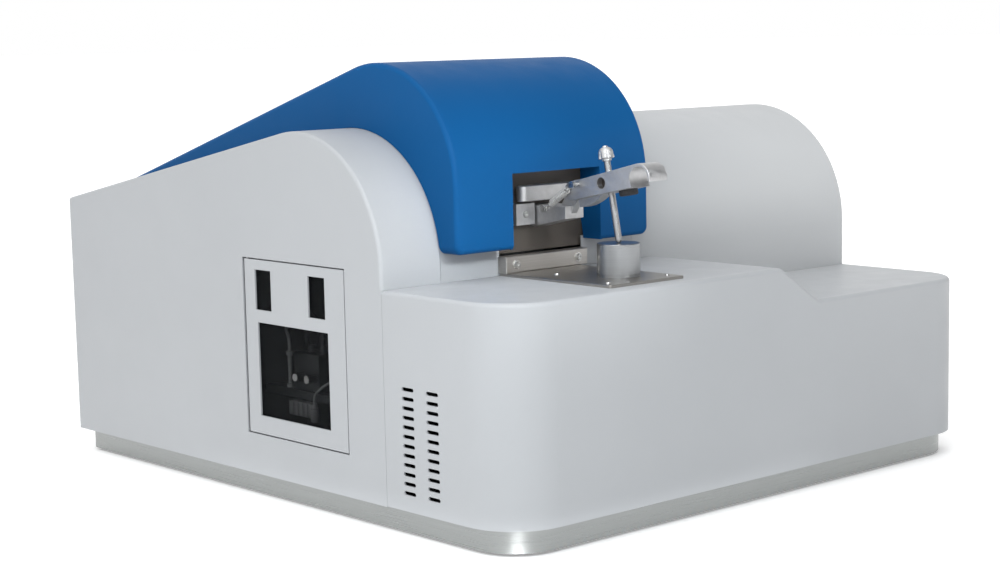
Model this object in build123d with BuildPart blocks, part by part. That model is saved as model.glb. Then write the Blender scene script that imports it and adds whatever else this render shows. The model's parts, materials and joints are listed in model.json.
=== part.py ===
from build123d import *
from math import asin, atan2, ceil, cos, degrees, pi, radians, sin, sqrt, tan
import os

os.makedirs("parts", exist_ok=True)

# Bench-top optical emission spectrometer.
# Millimetres. X runs to the right, Y to the back and Z up.
# The origin is the centre of the footprint on the bench.

# Overall sizes
width = 750.0
depth = 820.0
low_deck_height = 213.5
deck_step = 41.0
hood_lift = 30.5
notch_height = 81.0
hood_crown = 119.5
hood_rise = 71.0

# Clearances shared by many pieces
overrun = 6.0
seam = 0.4
running_gap = 0.05
fixed_gap = 0.02
rest_gap = 0.04

# Casing sheets
sheet = 2.0
edge_radius = 4.0
cover_bottom = 27.5
casing_radius = 143.5
rear_fall = 93.5
flange_drop = 15.0
seam_strip = 8.0

# Front table
table_depth = 194.5
table_corner_radius = 65.0
table_edge_radius = 5.0
table_lift = 0.8
rear_corner_radius = 6.0
ramp_right_of_hood = 36.0
ramp_run = 63.5
ramp_bend_radius = 9.0

# Cooling slots of the table
slot_length = 19.0
slot_height = 4.1
slot_pitch = 9.86
slot_rows = 12
slot_columns = 2
slot_column_pitch = 38.7
slot_centre_back = 136.5
slot_centre_height = 101.8

# Hood
left_tower_width = 80.0
hood_width = 286.0
hood_reach = 27.5
hood_radius = 132.5
hood_tip_rise = 16.0
hood_rear_setback = 23.0
hood_wall = 3.0
hood_side_radius = 5.0
hood_corner_radius = 9.0
hood_tip_radius = 4.0

# Recess of the hood round the clamp
notch_left_of_stand = 66.0
notch_width = 130.0
back_panel_setback = 4.0
back_panel_thickness = 3.0
back_panel_drop = 7.5

# Base
plinth_inset = 11.5
plinth_wall = 3.0
floor_gap = 2.5
pan_thickness = 2.5
foot_radius = 17.0
foot_stem_radius = 11.0
foot_pad_height = 9.0
foot_edge_radius = 2.0
foot_inset_x = 85.0
foot_inset_y = 75.0

# Spark stand, measured from the middle of the hood and from the wall behind it
stand_offset = 3.0
plate_left_of_stand = 64.0
plate_width = 110.0
plate_reach = 170.5
plate_thickness = 3.0
plate_corner_radius = 3.0
plate_chamfer = 0.6
plate_screw_shares = ((1, 0.4, 0.085), (-1, 0.4, 0.085), (1, 0.235, 0.65), (-1, 0.4, 0.65))
spark_reach = 119.0
spark_hole_radius = 6.5
bar_left_of_stand = 64.5
bar_length = 121.5
bar_thickness = 13.3
bar_height = 18.0
bar_chamfer = 0.8
bar_hole_inset = 14.8
window_step = 3.0
chamber_radius = 32.0
chamber_height = 46.0
chamber_bore_radius = 20.0
chamber_floor = 8.0
chamber_flange_radius = 38.0
chamber_flange_height = 5.0
insulator_radius = 14.0
insulator_height = 12.0
holder_radius = 7.0
holder_length = 46.0
holder_grip_length = 14.0
holder_stand = 8.0
electrode_radius = 3.0
electrode_gap = 3.5
electrode_cone = 5.0

# Metal sample that stands over the spark hole
sample_radius = 22.9
sample_height = 35.0
sample_ring_height = 2.6
sample_groove_height = 1.0
sample_groove_depth = 1.0
sample_chamfer = 0.6

# Sample clamp. The pivot is measured from the wall and from the clamp base.
pivot_reach = 60.3
pivot_rise = 20.3
clamp_tilt = 11.0
arm_width = 27.0
arm_below = 13.5
arm_above = 6.0
arm_reach = 103.0
arm_edge_radius = 0.8
hook_drop = 6.0
hook_radius = 16.0
hook_wall = 3.0
hook_end_angle = -18.0
rod_reach = 48.0
rod_radius = 3.5
rod_above = 21.0
keel_width = 13.0
keel_depth = 8.5
keel_start = 4.0
keel_end = 41.0
keel_belly_share = 0.85
lug_width = 8.0
lug_radius = 8.0
pin_radius = 3.0
pin_head_height = 1.6
pin_head_radius = 4.4
barrel_radius = 6.0
barrel_recess = 7.0
barrel_drop = 2.0
pad_reach = 73.0
pad_radius = 10.0
pad_height = 6.0
pad_edge_radius = 1.5

# Knob on the press rod
knob_radius = 8.6
knob_height = 14.5
knob_dome_height = 7.5
knob_collar_radius = 5.2
knob_collar_height = 2.4
knob_flutes = 6
knob_flute_radius = 2.6
knob_rim = 0.7
knob_socket_radius = 2.4
knob_grip = 7.0
knob_shoulder_share = 0.74
knob_crown_share = 0.28

# Clamp base
base_lift = 74.0
base_reach = 52.5
base_front_height = 13.5
base_rear_height = 25.5
base_edge = 0.8
ear_left_of_stand = 42.5
ear_width = 27.0
ear_depth = 10.5
ear_height = 23.0
ear_rise = 2.0
ear_groove_depth = 7.0
crossbar_left_of_stand = 39.5
crossbar_length = 79.0
crossbar_thickness = 13.6
crossbar_rise = 4.5
crossbar_height = 17.0
crossbar_edge = 0.8
standoff_radius = 5.0
standoff_spread = 50.0

# Clamp spring and its two anchor screws
lower_anchor_reach = 26.5
lower_anchor_drop = 3.3
upper_anchor_reach = 13.0
upper_anchor_rise = 2.4
anchor_radius = 1.6
anchor_head_radius = 3.6
anchor_head_height = 1.8
anchor_shank = 8.3
anchor_thread = 5.0
spring_wire_radius = 0.8
spring_radius = 3.5
spring_pitch = 2.5
spring_turns = 12
spring_clear = 0.4
spring_offset = 5.3
nearly_straight = 0.001
wire_samples = 1500

# Screws
m4_radius = 2.0
m4_head_radius = 3.9
m4_head_height = 2.2
m4_socket_radius = 1.5
m3_radius = 1.5
m3_head_radius = 2.9
m3_head_height = 1.5
m3_socket_radius = 1.1
m3_length = 6.0
socket_depth_share = 0.55
washer_radius = 5.2
washer_height = 0.9

# Service door in the left face
door_back = 258.0
door_length = 184.5
door_bottom = 75.0
door_height = 196.0
door_gap = 1.6
door_sheet = 2.0
door_flange_depth = 7.0
hinge_radius = 4.0
hinge_pin_radius = 1.5
hinge_lug_height = 10.0
small_window_width = 30.0
small_window_height = 45.0
small_window_drop = 11.0
rear_window_inset = 22.0
front_window_inset = 34.0
large_window_inset = 30.0
large_window_margin = 55.0
large_window_rise = 20.5
large_window_space = 90.5
pane_thickness = 2.0
pane_margin = 4.0
frame_width = 9.0
frame_lip = 5.0

# Compartment behind the door and what stands in it
bay_margin = 2.0
bay_wall = 1.5
rail_setback = 30.0
rail_bottom = 115.0
rail_height = 9.0
rail_lip = 4.0
manifold_inset = 94.0
manifold_length = 46.0
manifold_height = 42.0
manifold_depth = 24.0
manifold_port_radius = 4.0
manifold_port_height = 8.0
flow_knob_radius = 5.2
flow_knob_length = 12.0
flow_knob_rise = 16.0
flow_knob_shares = (0.15, 0.62)
flow_knob_grips = 8
flow_stem_radius = 2.0
pointer_width = 1.4
flow_stem_length = 9.0
valve_length = 26.0
valve_height = 24.0
valve_depth = 26.0
valve_inset = 42.0
valve_coil_radius = 9.0
valve_coil_height = 12.0

# Rear panel and its fittings
rear_recess = 25.0
rear_panel_gap = 0.6
flange_width = 14.0
panel_screw_shares = (0.12, 0.5, 0.88)
fan_size = 120.0
fan_depth = 25.0
fan_from_right = 190.0
fan_height = 190.0
fan_bore_radius = 57.0
fan_hub_radius = 20.0
fan_blades = 7
fan_blade_thickness = 1.6
fan_blade_gap = 2.0
fan_blade_pitch = 32.0
fan_shaft_radius = 3.0
fan_strut_width = 6.0
fan_strut_depth = 3.0
fan_corner_radius = 6.0
fan_hole_spread = 105.0
guard_ring_shares = (1.0, 0.8, 0.55, 0.3)
guard_spoke_share = 0.78
guard_spoke_length_share = 1.0
blade_share = 0.9
guard_wire = 2.0
guard_tab_radius = 5.0
inlet_width = 27.0
inlet_height = 19.5
inlet_flange_width = 46.0
inlet_flange_height = 24.0
inlet_flange_thickness = 3.0
inlet_body_depth = 22.0
inlet_socket_depth = 17.0
inlet_socket_wall = 2.0
inlet_pin_width = 2.0
inlet_pin_height = 4.0
inlet_pin_pitch = 7.0
inlet_pin_rise = 2.0
inlet_from_left = 110.0
inlet_centre_height = 75.0
rocker_from_left = 170.0
rocker_width = 12.5
rocker_height = 19.0
rocker_stand = 0.6
rocker_waist = 1.4
rocker_bezel_proud = 2.0
rocker_body_depth = 16.0
rocker_wall = 1.0
rocker_tilt = 9.0
rocker_clear = 0.7
rocker_pin_radius = 1.2
rocker_thickness = 4.4
gas_from_left = 250.0
gas_centre_height = 75.0
gas_tube_radius = 3.0
gas_tube_length = 16.0
gas_nut_radius = 8.0
gas_nut_thickness = 6.0
gas_thread_radius = 5.0
gas_thread_length = 12.0
gas_bore_radius = 2.0
port_from_left = 310.0
port_radius = 11.0
port_flange_radius = 17.0
port_length = 18.0
port_wall = 1.5
port_tail = 14.0

# Optics and electronics inside the casing
bench_thickness = 10.0
bench_below_beam = 57.0
bench_margin = 8.0
bench_post_radius = 9.0
bench_post_inset = 22.0
optics_side_space = 50.0
optics_setback = 41.5
optics_rear_space = 159.0
optics_height = 92.0
optics_wall = 6.0
lid_thickness = 6.0
lid_spigot = 3.0
grating_radius = 26.0
grating_thickness = 12.0
grating_dish_radius = 300.0
grating_inset = 58.0
grating_holder_wall = 4.0
grating_dish_share = 0.9
detector_length = 150.0
detector_height = 34.0
detector_thickness = 12.0
detector_inset = 16.0
detector_window_depth = 3.0
detector_window_height = 9.0
detector_share = 0.3
light_tube_radius = 12.0
light_tube_wall = 2.0
source_width = 200.0
source_length = 280.0
source_headroom = 30.0
source_fin_height = 10.0
source_fin_thickness = 3.0
source_fins = 9
supply_share = 0.46
supply_length = 230.0
supply_setback = 220.0
supply_height = 82.0
supply_slot_width = 60.0
supply_slot_height = 4.0
supply_slot_depth = 3.0
supply_slots = 5
board_share = 0.7
board_length = 170.0
board_setback = 20.0
board_thickness = 1.6
board_post_radius = 4.0
board_post_height = 14.0
board_inset = 12.0
board_columns = 3
chip_size = 28.0
chip_height = 4.0
connector_length = 46.0
connector_width = 10.0
connector_height = 11.0
unit_spacing = 20.0

# Places worked out from the sizes above
left = -width / 2
right = width / 2
front = -depth / 2
rear = depth / 2
deck_height = low_deck_height + deck_step
hood_bottom = deck_height + hood_lift
notch_top = hood_bottom + notch_height
hood_height = notch_top + hood_crown
ridge_height = hood_height - hood_rise
wall_y = front + table_depth
hood_x0 = left + left_tower_width
hood_x1 = hood_x0 + hood_width
hood_y = wall_y - hood_reach
hood_tip_y = rear - hood_rear_setback
stand_x = (hood_x0 + hood_x1) / 2 + stand_offset
spark_y = wall_y - spark_reach
notch_x0 = stand_x - notch_left_of_stand
notch_x1 = notch_x0 + notch_width
notch_x = (notch_x0 + notch_x1) / 2
back_panel_y = wall_y + back_panel_setback
back_panel_bottom = hood_bottom - back_panel_drop
pan_top = cover_bottom + pan_thickness
plate_x = stand_x - plate_left_of_stand + plate_width / 2
plate_y0 = wall_y - plate_reach
plate_y1 = wall_y - seam
plate_depth = plate_y1 - plate_y0
plate_top = deck_height + plate_thickness
bar_x = stand_x - bar_left_of_stand + bar_length / 2
bar_y = wall_y - bar_thickness
bar_z = plate_top + bar_height / 2
sample_top = plate_top + rest_gap + sample_height
base_top = deck_height + base_lift
pivot_y = wall_y - pivot_reach
pivot_height = base_top + pivot_rise
arm_x0 = stand_x - arm_width / 2
chamber_bottom = deck_height - chamber_height
bore_mid = (chamber_bottom + chamber_floor + deck_height - chamber_flange_height) / 2
optics_y0 = wall_y + optics_setback
rear_panel_y = rear - rear_recess
optics_width = hood_width - optics_side_space
optics_length = rear_panel_y - optics_y0 - optics_rear_space
bench_top = bore_mid - bench_below_beam


def falling_slope(radius, run, rise):
    """Slope, in degrees, of the line that leaves a brow of this radius and meets a point beyond it."""
    return degrees(asin(radius / sqrt(run**2 + rise**2)) - atan2(rise, run))


casing_slope = falling_slope(casing_radius, rear - wall_y - casing_radius, casing_radius - rear_fall)


def span(x0, x1, y0, y1, z0, z1):
    """A plain block between two corners."""
    with BuildPart() as block:
        with BuildSketch(Plane.XY.offset(z0)):
            with Locations(((x0 + x1) / 2, (y0 + y1) / 2)):
                Rectangle(x1 - x0, y1 - y0)
        extrude(amount=z1 - z0)
    return block.part


def screw_group(places, radius, head_radius, head_height, socket_radius, length):
    """Button screws. Each plane's normal points out of the head and its origin is the seat."""
    with BuildPart() as group:
        for place in places:
            with BuildSketch(place):
                Circle(head_radius)
            extrude(amount=head_height, taper=degrees(asin(head_height / head_radius / 2)))
            with BuildSketch(place):
                Circle(radius)
            extrude(amount=-length)
            with BuildSketch(place.offset(head_height)):
                RegularPolygon(socket_radius, 6)
            extrude(amount=-head_height * socket_depth_share, mode=Mode.SUBTRACT)
    return group.part


# Casing profile, seen from the side: front wall, round brow and falling roof
def casing_block(inset, x0, x1, bottom, back):
    centre_y = wall_y + casing_radius
    centre_z = ridge_height - casing_radius
    bend = casing_radius - inset
    slope = radians(casing_slope)
    top_y = centre_y + bend * sin(slope)
    top_z = centre_z + bend * cos(slope)
    back_z = top_z - (back - top_y) * tan(slope)
    with BuildPart() as block:
        with BuildSketch(Plane.YZ.offset(x0)):
            with BuildLine():
                CenterArc((centre_y, centre_z), bend, 90 - casing_slope, 90 + casing_slope)
                Polyline(
                    (top_y, top_z),
                    (back, back_z),
                    (back, bottom),
                    (wall_y + inset, bottom),
                    (wall_y + inset, centre_z),
                )
            make_face()
        extrude(amount=x1 - x0)
    return block.part


def roof_height(y):
    """Height of the falling roof above the bench at a depth y."""
    slope = radians(casing_slope)
    centre_y = wall_y + casing_radius
    centre_z = ridge_height - casing_radius
    return centre_z + (casing_radius - (y - centre_y) * sin(slope)) / cos(slope)


def brow_height(y):
    """Height of the round brow of the casing at a depth y."""
    run = wall_y + casing_radius - y
    return ridge_height - casing_radius + sqrt(casing_radius**2 - run**2)


panel_top = roof_height(rear_panel_y + sheet) - sheet / cos(radians(casing_slope)) - rear_panel_gap
panel_screw_heights = [pan_top + share * (panel_top - pan_top) for share in panel_screw_shares]


hood_slope = falling_slope(
    hood_radius,
    hood_tip_y - hood_y - hood_radius,
    roof_height(hood_tip_y) + hood_tip_rise - hood_height + hood_radius,
)


def rounded_casing(inset, x0, x1, bottom, back, side, radius):
    """Casing block whose outer side has rounded long edges. side is 1 for the right, 0 for the left."""
    with BuildPart() as block:
        add(casing_block(inset, x0, x1, bottom, back))
        face = block.faces().sort_by(Axis.X)[-side]
        upper = face.edges().sort_by(Axis.Z)[-1]
        fillet(upper, radius)
    return block.part


def side_flange(x0, x1):
    """Strip inside a side cover that takes the screws of the rear panel."""
    y1 = rear_panel_y - fixed_gap
    with BuildPart() as flange:
        add(span(x0, x1, y1 - sheet, y1, pan_top + seam, roof_height(y1) - sheet - seam))
        screw_x = (x0 + x1) / 2
        with BuildSketch(Plane.XZ.offset(-y1)):
            with Locations(*[(screw_x, z) for z in panel_screw_heights]):
                Circle(m3_radius + fixed_gap)
        extrude(amount=sheet, mode=Mode.SUBTRACT)
    return flange.part


# Left side cover with the opening for the service door
door_y0 = front + door_back
door_y1 = door_y0 + door_length
door_top = door_bottom + door_height
left_shell = rounded_casing(0, left, hood_x0 - seam / 2, cover_bottom, rear, 0, edge_radius)
left_void = rounded_casing(
    sheet, left + sheet, hood_x0 + overrun, cover_bottom - overrun, rear + overrun, 0, edge_radius - sheet
)
left_inner_cut = span(
    left + sheet,
    hood_x0,
    wall_y - overrun,
    wall_y + sheet + overrun,
    cover_bottom - overrun,
    deck_height - flange_drop,
)
door_cut = span(
    left - overrun,
    left + sheet + overrun,
    door_y0 - door_gap,
    door_y1 + door_gap,
    door_bottom - door_gap,
    door_top + door_gap,
)
with BuildPart() as left_side_cover:
    add(left_shell)
    add(left_void, mode=Mode.SUBTRACT)
    add(left_inner_cut, mode=Mode.SUBTRACT)
    add(span(left, left + sheet, wall_y, wall_y + seam_strip, cover_bottom, deck_height - seam))
    add(door_cut, mode=Mode.SUBTRACT)
    add(side_flange(left + sheet, left + sheet + flange_width))
left_side_cover.part.label = "left_side_cover"
export_step(left_side_cover.part, "parts/left_side_cover.step")

# Right side cover
right_shell = rounded_casing(0, hood_x1 + seam / 2, right, cover_bottom, rear, 1, edge_radius)
right_void = rounded_casing(
    sheet, hood_x1 - overrun, right - sheet, cover_bottom - overrun, rear + overrun, 1, edge_radius - sheet
)
right_inner_cut = span(
    hood_x1,
    right - sheet,
    wall_y - overrun,
    wall_y + sheet + overrun,
    cover_bottom - overrun,
    low_deck_height - flange_drop,
)
with BuildPart() as right_side_cover:
    add(right_shell)
    add(right_void, mode=Mode.SUBTRACT)
    add(right_inner_cut, mode=Mode.SUBTRACT)
    add(span(right - sheet, right, wall_y, wall_y + seam_strip, cover_bottom, low_deck_height - seam))
    add(side_flange(right - sheet - flange_width, right - sheet))
right_side_cover.part.label = "right_side_cover"
export_step(right_side_cover.part, "parts/right_side_cover.step")

# Centre cover between the two side covers, open behind the clamp
centre_shell = casing_block(0, hood_x0 + seam / 2, hood_x1 - seam / 2, deck_height - flange_drop, rear)
centre_void = casing_block(sheet, hood_x0 - overrun, hood_x1 + overrun, cover_bottom, rear + overrun)
window_top = brow_height(back_panel_y + back_panel_thickness) + 2 * sheet
upper_window = span(
    notch_x0 - 2 * hood_wall,
    notch_x1 + 2 * hood_wall,
    wall_y - overrun,
    back_panel_y + back_panel_thickness + 2 * sheet,
    hood_bottom + hood_wall,
    window_top,
)
lower_window = span(
    notch_x0 + window_step,
    notch_x1 - window_step,
    wall_y - overrun,
    wall_y + sheet + overrun,
    plate_top + bar_height - seam,
    hood_bottom + hood_wall + overrun,
)
with BuildPart() as centre_cover:
    add(centre_shell)
    add(centre_void, mode=Mode.SUBTRACT)
    add(upper_window, mode=Mode.SUBTRACT)
    add(lower_window, mode=Mode.SUBTRACT)
    with BuildSketch(Plane.XZ.offset(-wall_y)):
        with Locations((bar_x, bar_z)):
            with GridLocations(bar_length - 2 * bar_hole_inset, 1, 2, 1):
                Circle(m4_radius + fixed_gap)
        with Locations((stand_x, bore_mid)):
            Circle(light_tube_radius + seam)
    extrude(amount=2 * sheet, both=True, mode=Mode.SUBTRACT)
centre_cover.part.label = "centre_cover"
export_step(centre_cover.part, "parts/centre_cover.step")


# Front table: rounded plan outline with a step down to the right
def table_block(inset, bottom, back, bend, edge):
    ramp = atan2(deck_height - low_deck_height, ramp_run)
    shift = inset * tan(ramp / 2)
    x_top = hood_x1 + ramp_right_of_hood - shift
    x_low = x_top + ramp_run
    with BuildPart() as block:
        with BuildSketch(Plane.XZ.offset(-back)):
            with BuildLine():
                Polyline(
                    (left + inset, bottom),
                    (left + inset, deck_height - inset),
                    (x_top, deck_height - inset),
                    (x_low, low_deck_height - inset),
                    (right - inset, low_deck_height - inset),
                    (right - inset, bottom),
                    close=True,
                )
            make_face()
        extrude(amount=back - front - inset)
        ramp_edges = block.edges().filter_by(Axis.Y).sort_by(Axis.X)[2:4]
        fillet(ramp_edges, bend)
        corner_edges = block.edges().filter_by(Axis.Z).group_by(Axis.Y)[0]
        fillet(corner_edges, table_corner_radius - inset)
        rim = block.edges().group_by(Axis.Y)[0].sort_by(Axis.Z)[-1]
        fillet(rim, edge)
    return block.part


table_shell = table_block(0, cover_bottom + table_lift, wall_y - seam, ramp_bend_radius, table_edge_radius)
table_void = table_block(
    sheet, cover_bottom - overrun, wall_y + overrun, ramp_bend_radius, table_edge_radius - sheet
)
deck_hole_radius = chamber_flange_radius + seam
plate_screw_places = [
    (plate_x - side * plate_width * spread, plate_y0 + plate_depth * share)
    for side, spread, share in plate_screw_shares
]
with BuildPart() as front_table_cover:
    add(table_shell)
    add(table_void, mode=Mode.SUBTRACT)
    with BuildSketch(Plane.XY.offset(deck_height)):
        with Locations((stand_x, spark_y)):
            Circle(deck_hole_radius)
        with Locations(*plate_screw_places):
            Circle(m3_radius + fixed_gap)
    extrude(amount=sheet + overrun, both=True, mode=Mode.SUBTRACT)
    slot_centre = (front + slot_centre_back, slot_centre_height)
    for side in (left - overrun, right - sheet - overrun):
        with BuildSketch(Plane.YZ.offset(side)):
            with Locations(slot_centre):
                with GridLocations(slot_column_pitch, slot_pitch, slot_columns, slot_rows):
                    SlotOverall(slot_length, slot_height)
        extrude(amount=sheet + 2 * overrun, mode=Mode.SUBTRACT)
front_table_cover.part.label = "front_table_cover"
export_step(front_table_cover.part, "parts/front_table_cover.step")


# Hood: upright front, round brow, long falling top, blunt tip
def hood_block(inset, corner, tip, side):
    centre_y = hood_y + hood_radius
    centre_z = hood_height - hood_radius
    bend = hood_radius - inset
    slope = radians(hood_slope)
    bottom = hood_bottom + inset
    back = hood_tip_y - inset
    top_y = centre_y + bend * sin(slope)
    top_z = centre_z + bend * cos(slope)
    back_z = top_z - (back - top_y) * tan(slope)
    with BuildPart() as block:
        with BuildSketch(Plane.YZ.offset(hood_x0 + inset)):
            with BuildLine():
                CenterArc((centre_y, centre_z), bend, 90 - hood_slope, 90 + hood_slope)
                Polyline(
                    (top_y, top_z),
                    (back, back_z),
                    (back, bottom),
                    (hood_y + inset, bottom),
                    (hood_y + inset, centre_z),
                )
            make_face()
        extrude(amount=hood_width - 2 * inset)
        fillet(block.edges().filter_by(Axis.Y).group_by(Axis.Z)[0], corner)
        tip_edge = block.faces().sort_by(Axis.Y)[-1].edges().sort_by(Axis.Z)[-1]
        fillet(tip_edge, tip)
        front_face = block.faces().sort_by(Axis.Y)[0]
        fillet(front_face.edges().filter_by(Axis.Z), side)
    return block.part


hood_shell = hood_block(0, hood_corner_radius, hood_tip_radius, hood_side_radius)
hood_void = hood_block(
    hood_wall, hood_corner_radius - hood_wall, hood_tip_radius - hood_wall, hood_side_radius - hood_wall
)
notch_liner = span(
    notch_x0 - hood_wall,
    notch_x1 + hood_wall,
    hood_y + hood_wall / 2,
    back_panel_y - seam,
    hood_bottom,
    notch_top + hood_wall,
)
notch_cut = span(
    notch_x0, notch_x1, hood_y - overrun, back_panel_y + overrun, hood_bottom - overrun, notch_top
)
casing_solid = casing_block(-seam, left - overrun, right + overrun, cover_bottom, rear + overrun)
with BuildPart() as hood_cover:
    add(hood_shell)
    add(hood_void, mode=Mode.SUBTRACT)
    add(notch_liner)
    add(casing_solid, mode=Mode.SUBTRACT)
    add(notch_cut, mode=Mode.SUBTRACT)
hood_cover.part.label = "hood_cover"
export_step(hood_cover.part, "parts/hood_cover.step")


# Base: pan, plinth round the foot of the casing, and rubber feet
def footprint_block(inset, bottom, height):
    with BuildPart() as block:
        with BuildSketch(Plane.XY.offset(bottom)) as plan:
            Rectangle(width - 2 * inset, depth - 2 * inset)
            fillet(plan.vertices().group_by(Axis.Y)[0], table_corner_radius - inset)
            fillet(plan.vertices().group_by(Axis.Y)[-1], rear_corner_radius)
        extrude(amount=height)
    return block.part


with BuildPart() as base_pan:
    add(footprint_block(sheet + seam, cover_bottom, pan_thickness))
base_pan.part.label = "base_pan"
export_step(base_pan.part, "parts/base_pan.step")

plinth_outer = footprint_block(plinth_inset, floor_gap, cover_bottom - floor_gap)
plinth_inner = footprint_block(plinth_inset + plinth_wall, 0, cover_bottom + overrun)
with BuildPart() as base_plinth:
    add(plinth_outer)
    add(plinth_inner, mode=Mode.SUBTRACT)
base_plinth.part.label = "base_plinth"
export_step(base_plinth.part, "parts/base_plinth.step")

with BuildPart() as rubber_feet:
    with BuildSketch(Plane.XY):
        with GridLocations(width - 2 * foot_inset_x, depth - 2 * foot_inset_y, 2, 2):
            Circle(foot_radius)
    extrude(amount=foot_pad_height)
    fillet(rubber_feet.edges().group_by(Axis.Z)[-1], foot_edge_radius)
    with BuildSketch(Plane.XY.offset(foot_pad_height)):
        with GridLocations(width - 2 * foot_inset_x, depth - 2 * foot_inset_y, 2, 2):
            Circle(foot_stem_radius)
    extrude(amount=cover_bottom - foot_pad_height)
rubber_feet.part.label = "rubber_feet"
export_step(rubber_feet.part, "parts/rubber_feet.step")

# Spark stand: table plate, bar across its back, dark panel behind the clamp
with BuildPart() as table_plate:
    with BuildSketch(Plane.XY.offset(deck_height)) as plate_plan:
        with Locations((plate_x, (plate_y0 + plate_y1) / 2)):
            Rectangle(plate_width, plate_depth)
        fillet(plate_plan.vertices(), plate_corner_radius)
        with Locations((stand_x, spark_y)):
            Circle(spark_hole_radius, mode=Mode.SUBTRACT)
        with Locations(*plate_screw_places):
            Circle(m3_radius + fixed_gap, mode=Mode.SUBTRACT)
    extrude(amount=plate_thickness)
    rim = table_plate.edges().filter_by(GeomType.LINE).group_by(Axis.Z)[-1]
    chamfer(rim, plate_chamfer)
table_plate.part.label = "table_plate"
export_step(table_plate.part, "parts/table_plate.step")

plate_seats = [Plane((x, y, plate_top)) for x, y in plate_screw_places]
plate_screws = screw_group(
    plate_seats, m3_radius, m3_head_radius, m3_head_height, m3_socket_radius, m3_length
)
plate_screws.label = "plate_screws"
export_step(plate_screws, "parts/plate_screws.step")

with BuildPart() as bracket_bar:
    with BuildSketch(Plane.XZ.offset(-bar_y)):
        with Locations((bar_x, bar_z)):
            Rectangle(bar_length, bar_height)
            with GridLocations(bar_length - 2 * bar_hole_inset, 1, 2, 1):
                Circle(m4_radius + fixed_gap, mode=Mode.SUBTRACT)
    extrude(amount=-bar_thickness)
    front_edges = bracket_bar.edges().filter_by(GeomType.LINE).group_by(Axis.Y)[0]
    chamfer(front_edges, bar_chamfer)
bracket_bar.part.label = "bracket_bar"
export_step(bracket_bar.part, "parts/bracket_bar.step")

bar_screw_x = bar_length / 2 - bar_hole_inset
bar_seats = [
    Plane((bar_x + side * bar_screw_x, bar_y, bar_z), x_dir=(1, 0, 0), z_dir=(0, -1, 0)) for side in (-1, 1)
]
with BuildPart() as bar_washers:
    for seat in bar_seats:
        with BuildSketch(seat):
            Circle(washer_radius)
            Circle(m4_radius + fixed_gap, mode=Mode.SUBTRACT)
        extrude(amount=washer_height)
bar_washers.part.label = "bar_washers"
export_step(bar_washers.part, "parts/bar_washers.step")

ear_x = stand_x - ear_left_of_stand + ear_width / 2
ear_top = base_top + ear_rise
ear_z = ear_top - ear_height / 2
ear_y = back_panel_y - ear_depth
crossbar_x = stand_x - crossbar_left_of_stand + crossbar_length / 2
crossbar_bottom = base_top + crossbar_rise
crossbar_z = crossbar_bottom + crossbar_height / 2
with BuildPart() as back_panel:
    with BuildSketch(Plane.XZ.offset(-back_panel_y)):
        with Locations((notch_x, (back_panel_bottom + notch_top + hood_wall) / 2)):
            Rectangle(notch_width + 2 * hood_wall, notch_top + hood_wall - back_panel_bottom)
        with Locations((ear_x, ear_z)):
            Circle(m4_radius + fixed_gap, mode=Mode.SUBTRACT)
    extrude(amount=-back_panel_thickness)
back_panel.part.label = "clamp_back_panel"
export_step(back_panel.part, "parts/clamp_back_panel.step")

# Spark chamber under the table, its electrode and the light tube to the optics
with BuildPart() as spark_chamber:
    with BuildSketch(Plane.XY.offset(chamber_bottom)):
        with Locations((stand_x, spark_y)):
            Circle(chamber_radius)
    extrude(amount=chamber_height)
    with BuildSketch(Plane.XY.offset(deck_height - chamber_flange_height)):
        with Locations((stand_x, spark_y)):
            Circle(chamber_flange_radius)
    extrude(amount=chamber_flange_height)
    with BuildSketch(Plane.XY.offset(chamber_bottom + chamber_floor)):
        with Locations((stand_x, spark_y)):
            Circle(chamber_bore_radius)
    extrude(amount=chamber_height, mode=Mode.SUBTRACT)
    with BuildSketch(Plane.XY.offset(chamber_bottom)):
        with Locations((stand_x, spark_y)):
            Circle(insulator_radius + fixed_gap)
    extrude(amount=chamber_floor, mode=Mode.SUBTRACT)
    with BuildSketch(Plane.XZ.offset(-spark_y)):
        with Locations((stand_x, bore_mid)):
            Circle(light_tube_radius + fixed_gap)
    extrude(amount=-chamber_flange_radius, mode=Mode.SUBTRACT)
spark_chamber.part.label = "spark_chamber"
export_step(spark_chamber.part, "parts/spark_chamber.step")

with BuildPart() as electrode_insulator:
    with BuildSketch(Plane.XY.offset(chamber_bottom)):
        with Locations((stand_x, spark_y)):
            Circle(insulator_radius)
            Circle(holder_radius + fixed_gap, mode=Mode.SUBTRACT)
    extrude(amount=insulator_height)
    chamfer(electrode_insulator.edges().group_by(Axis.Z)[-1], plate_chamfer)
electrode_insulator.part.label = "electrode_insulator"
export_step(electrode_insulator.part, "parts/electrode_insulator.step")

holder_top = chamber_bottom + insulator_height + holder_stand
electrode_tip = plate_top - electrode_gap
with BuildPart() as electrode_holder:
    with BuildSketch(Plane.XY.offset(holder_top)):
        with Locations((stand_x, spark_y)):
            Circle(holder_radius)
    extrude(amount=-holder_length)
    with BuildSketch(Plane.XY.offset(holder_top)):
        with Locations((stand_x, spark_y)):
            Circle(electrode_radius + fixed_gap)
    extrude(amount=-holder_grip_length, mode=Mode.SUBTRACT)
electrode_holder.part.label = "electrode_holder"
export_step(electrode_holder.part, "parts/electrode_holder.step")

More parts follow.
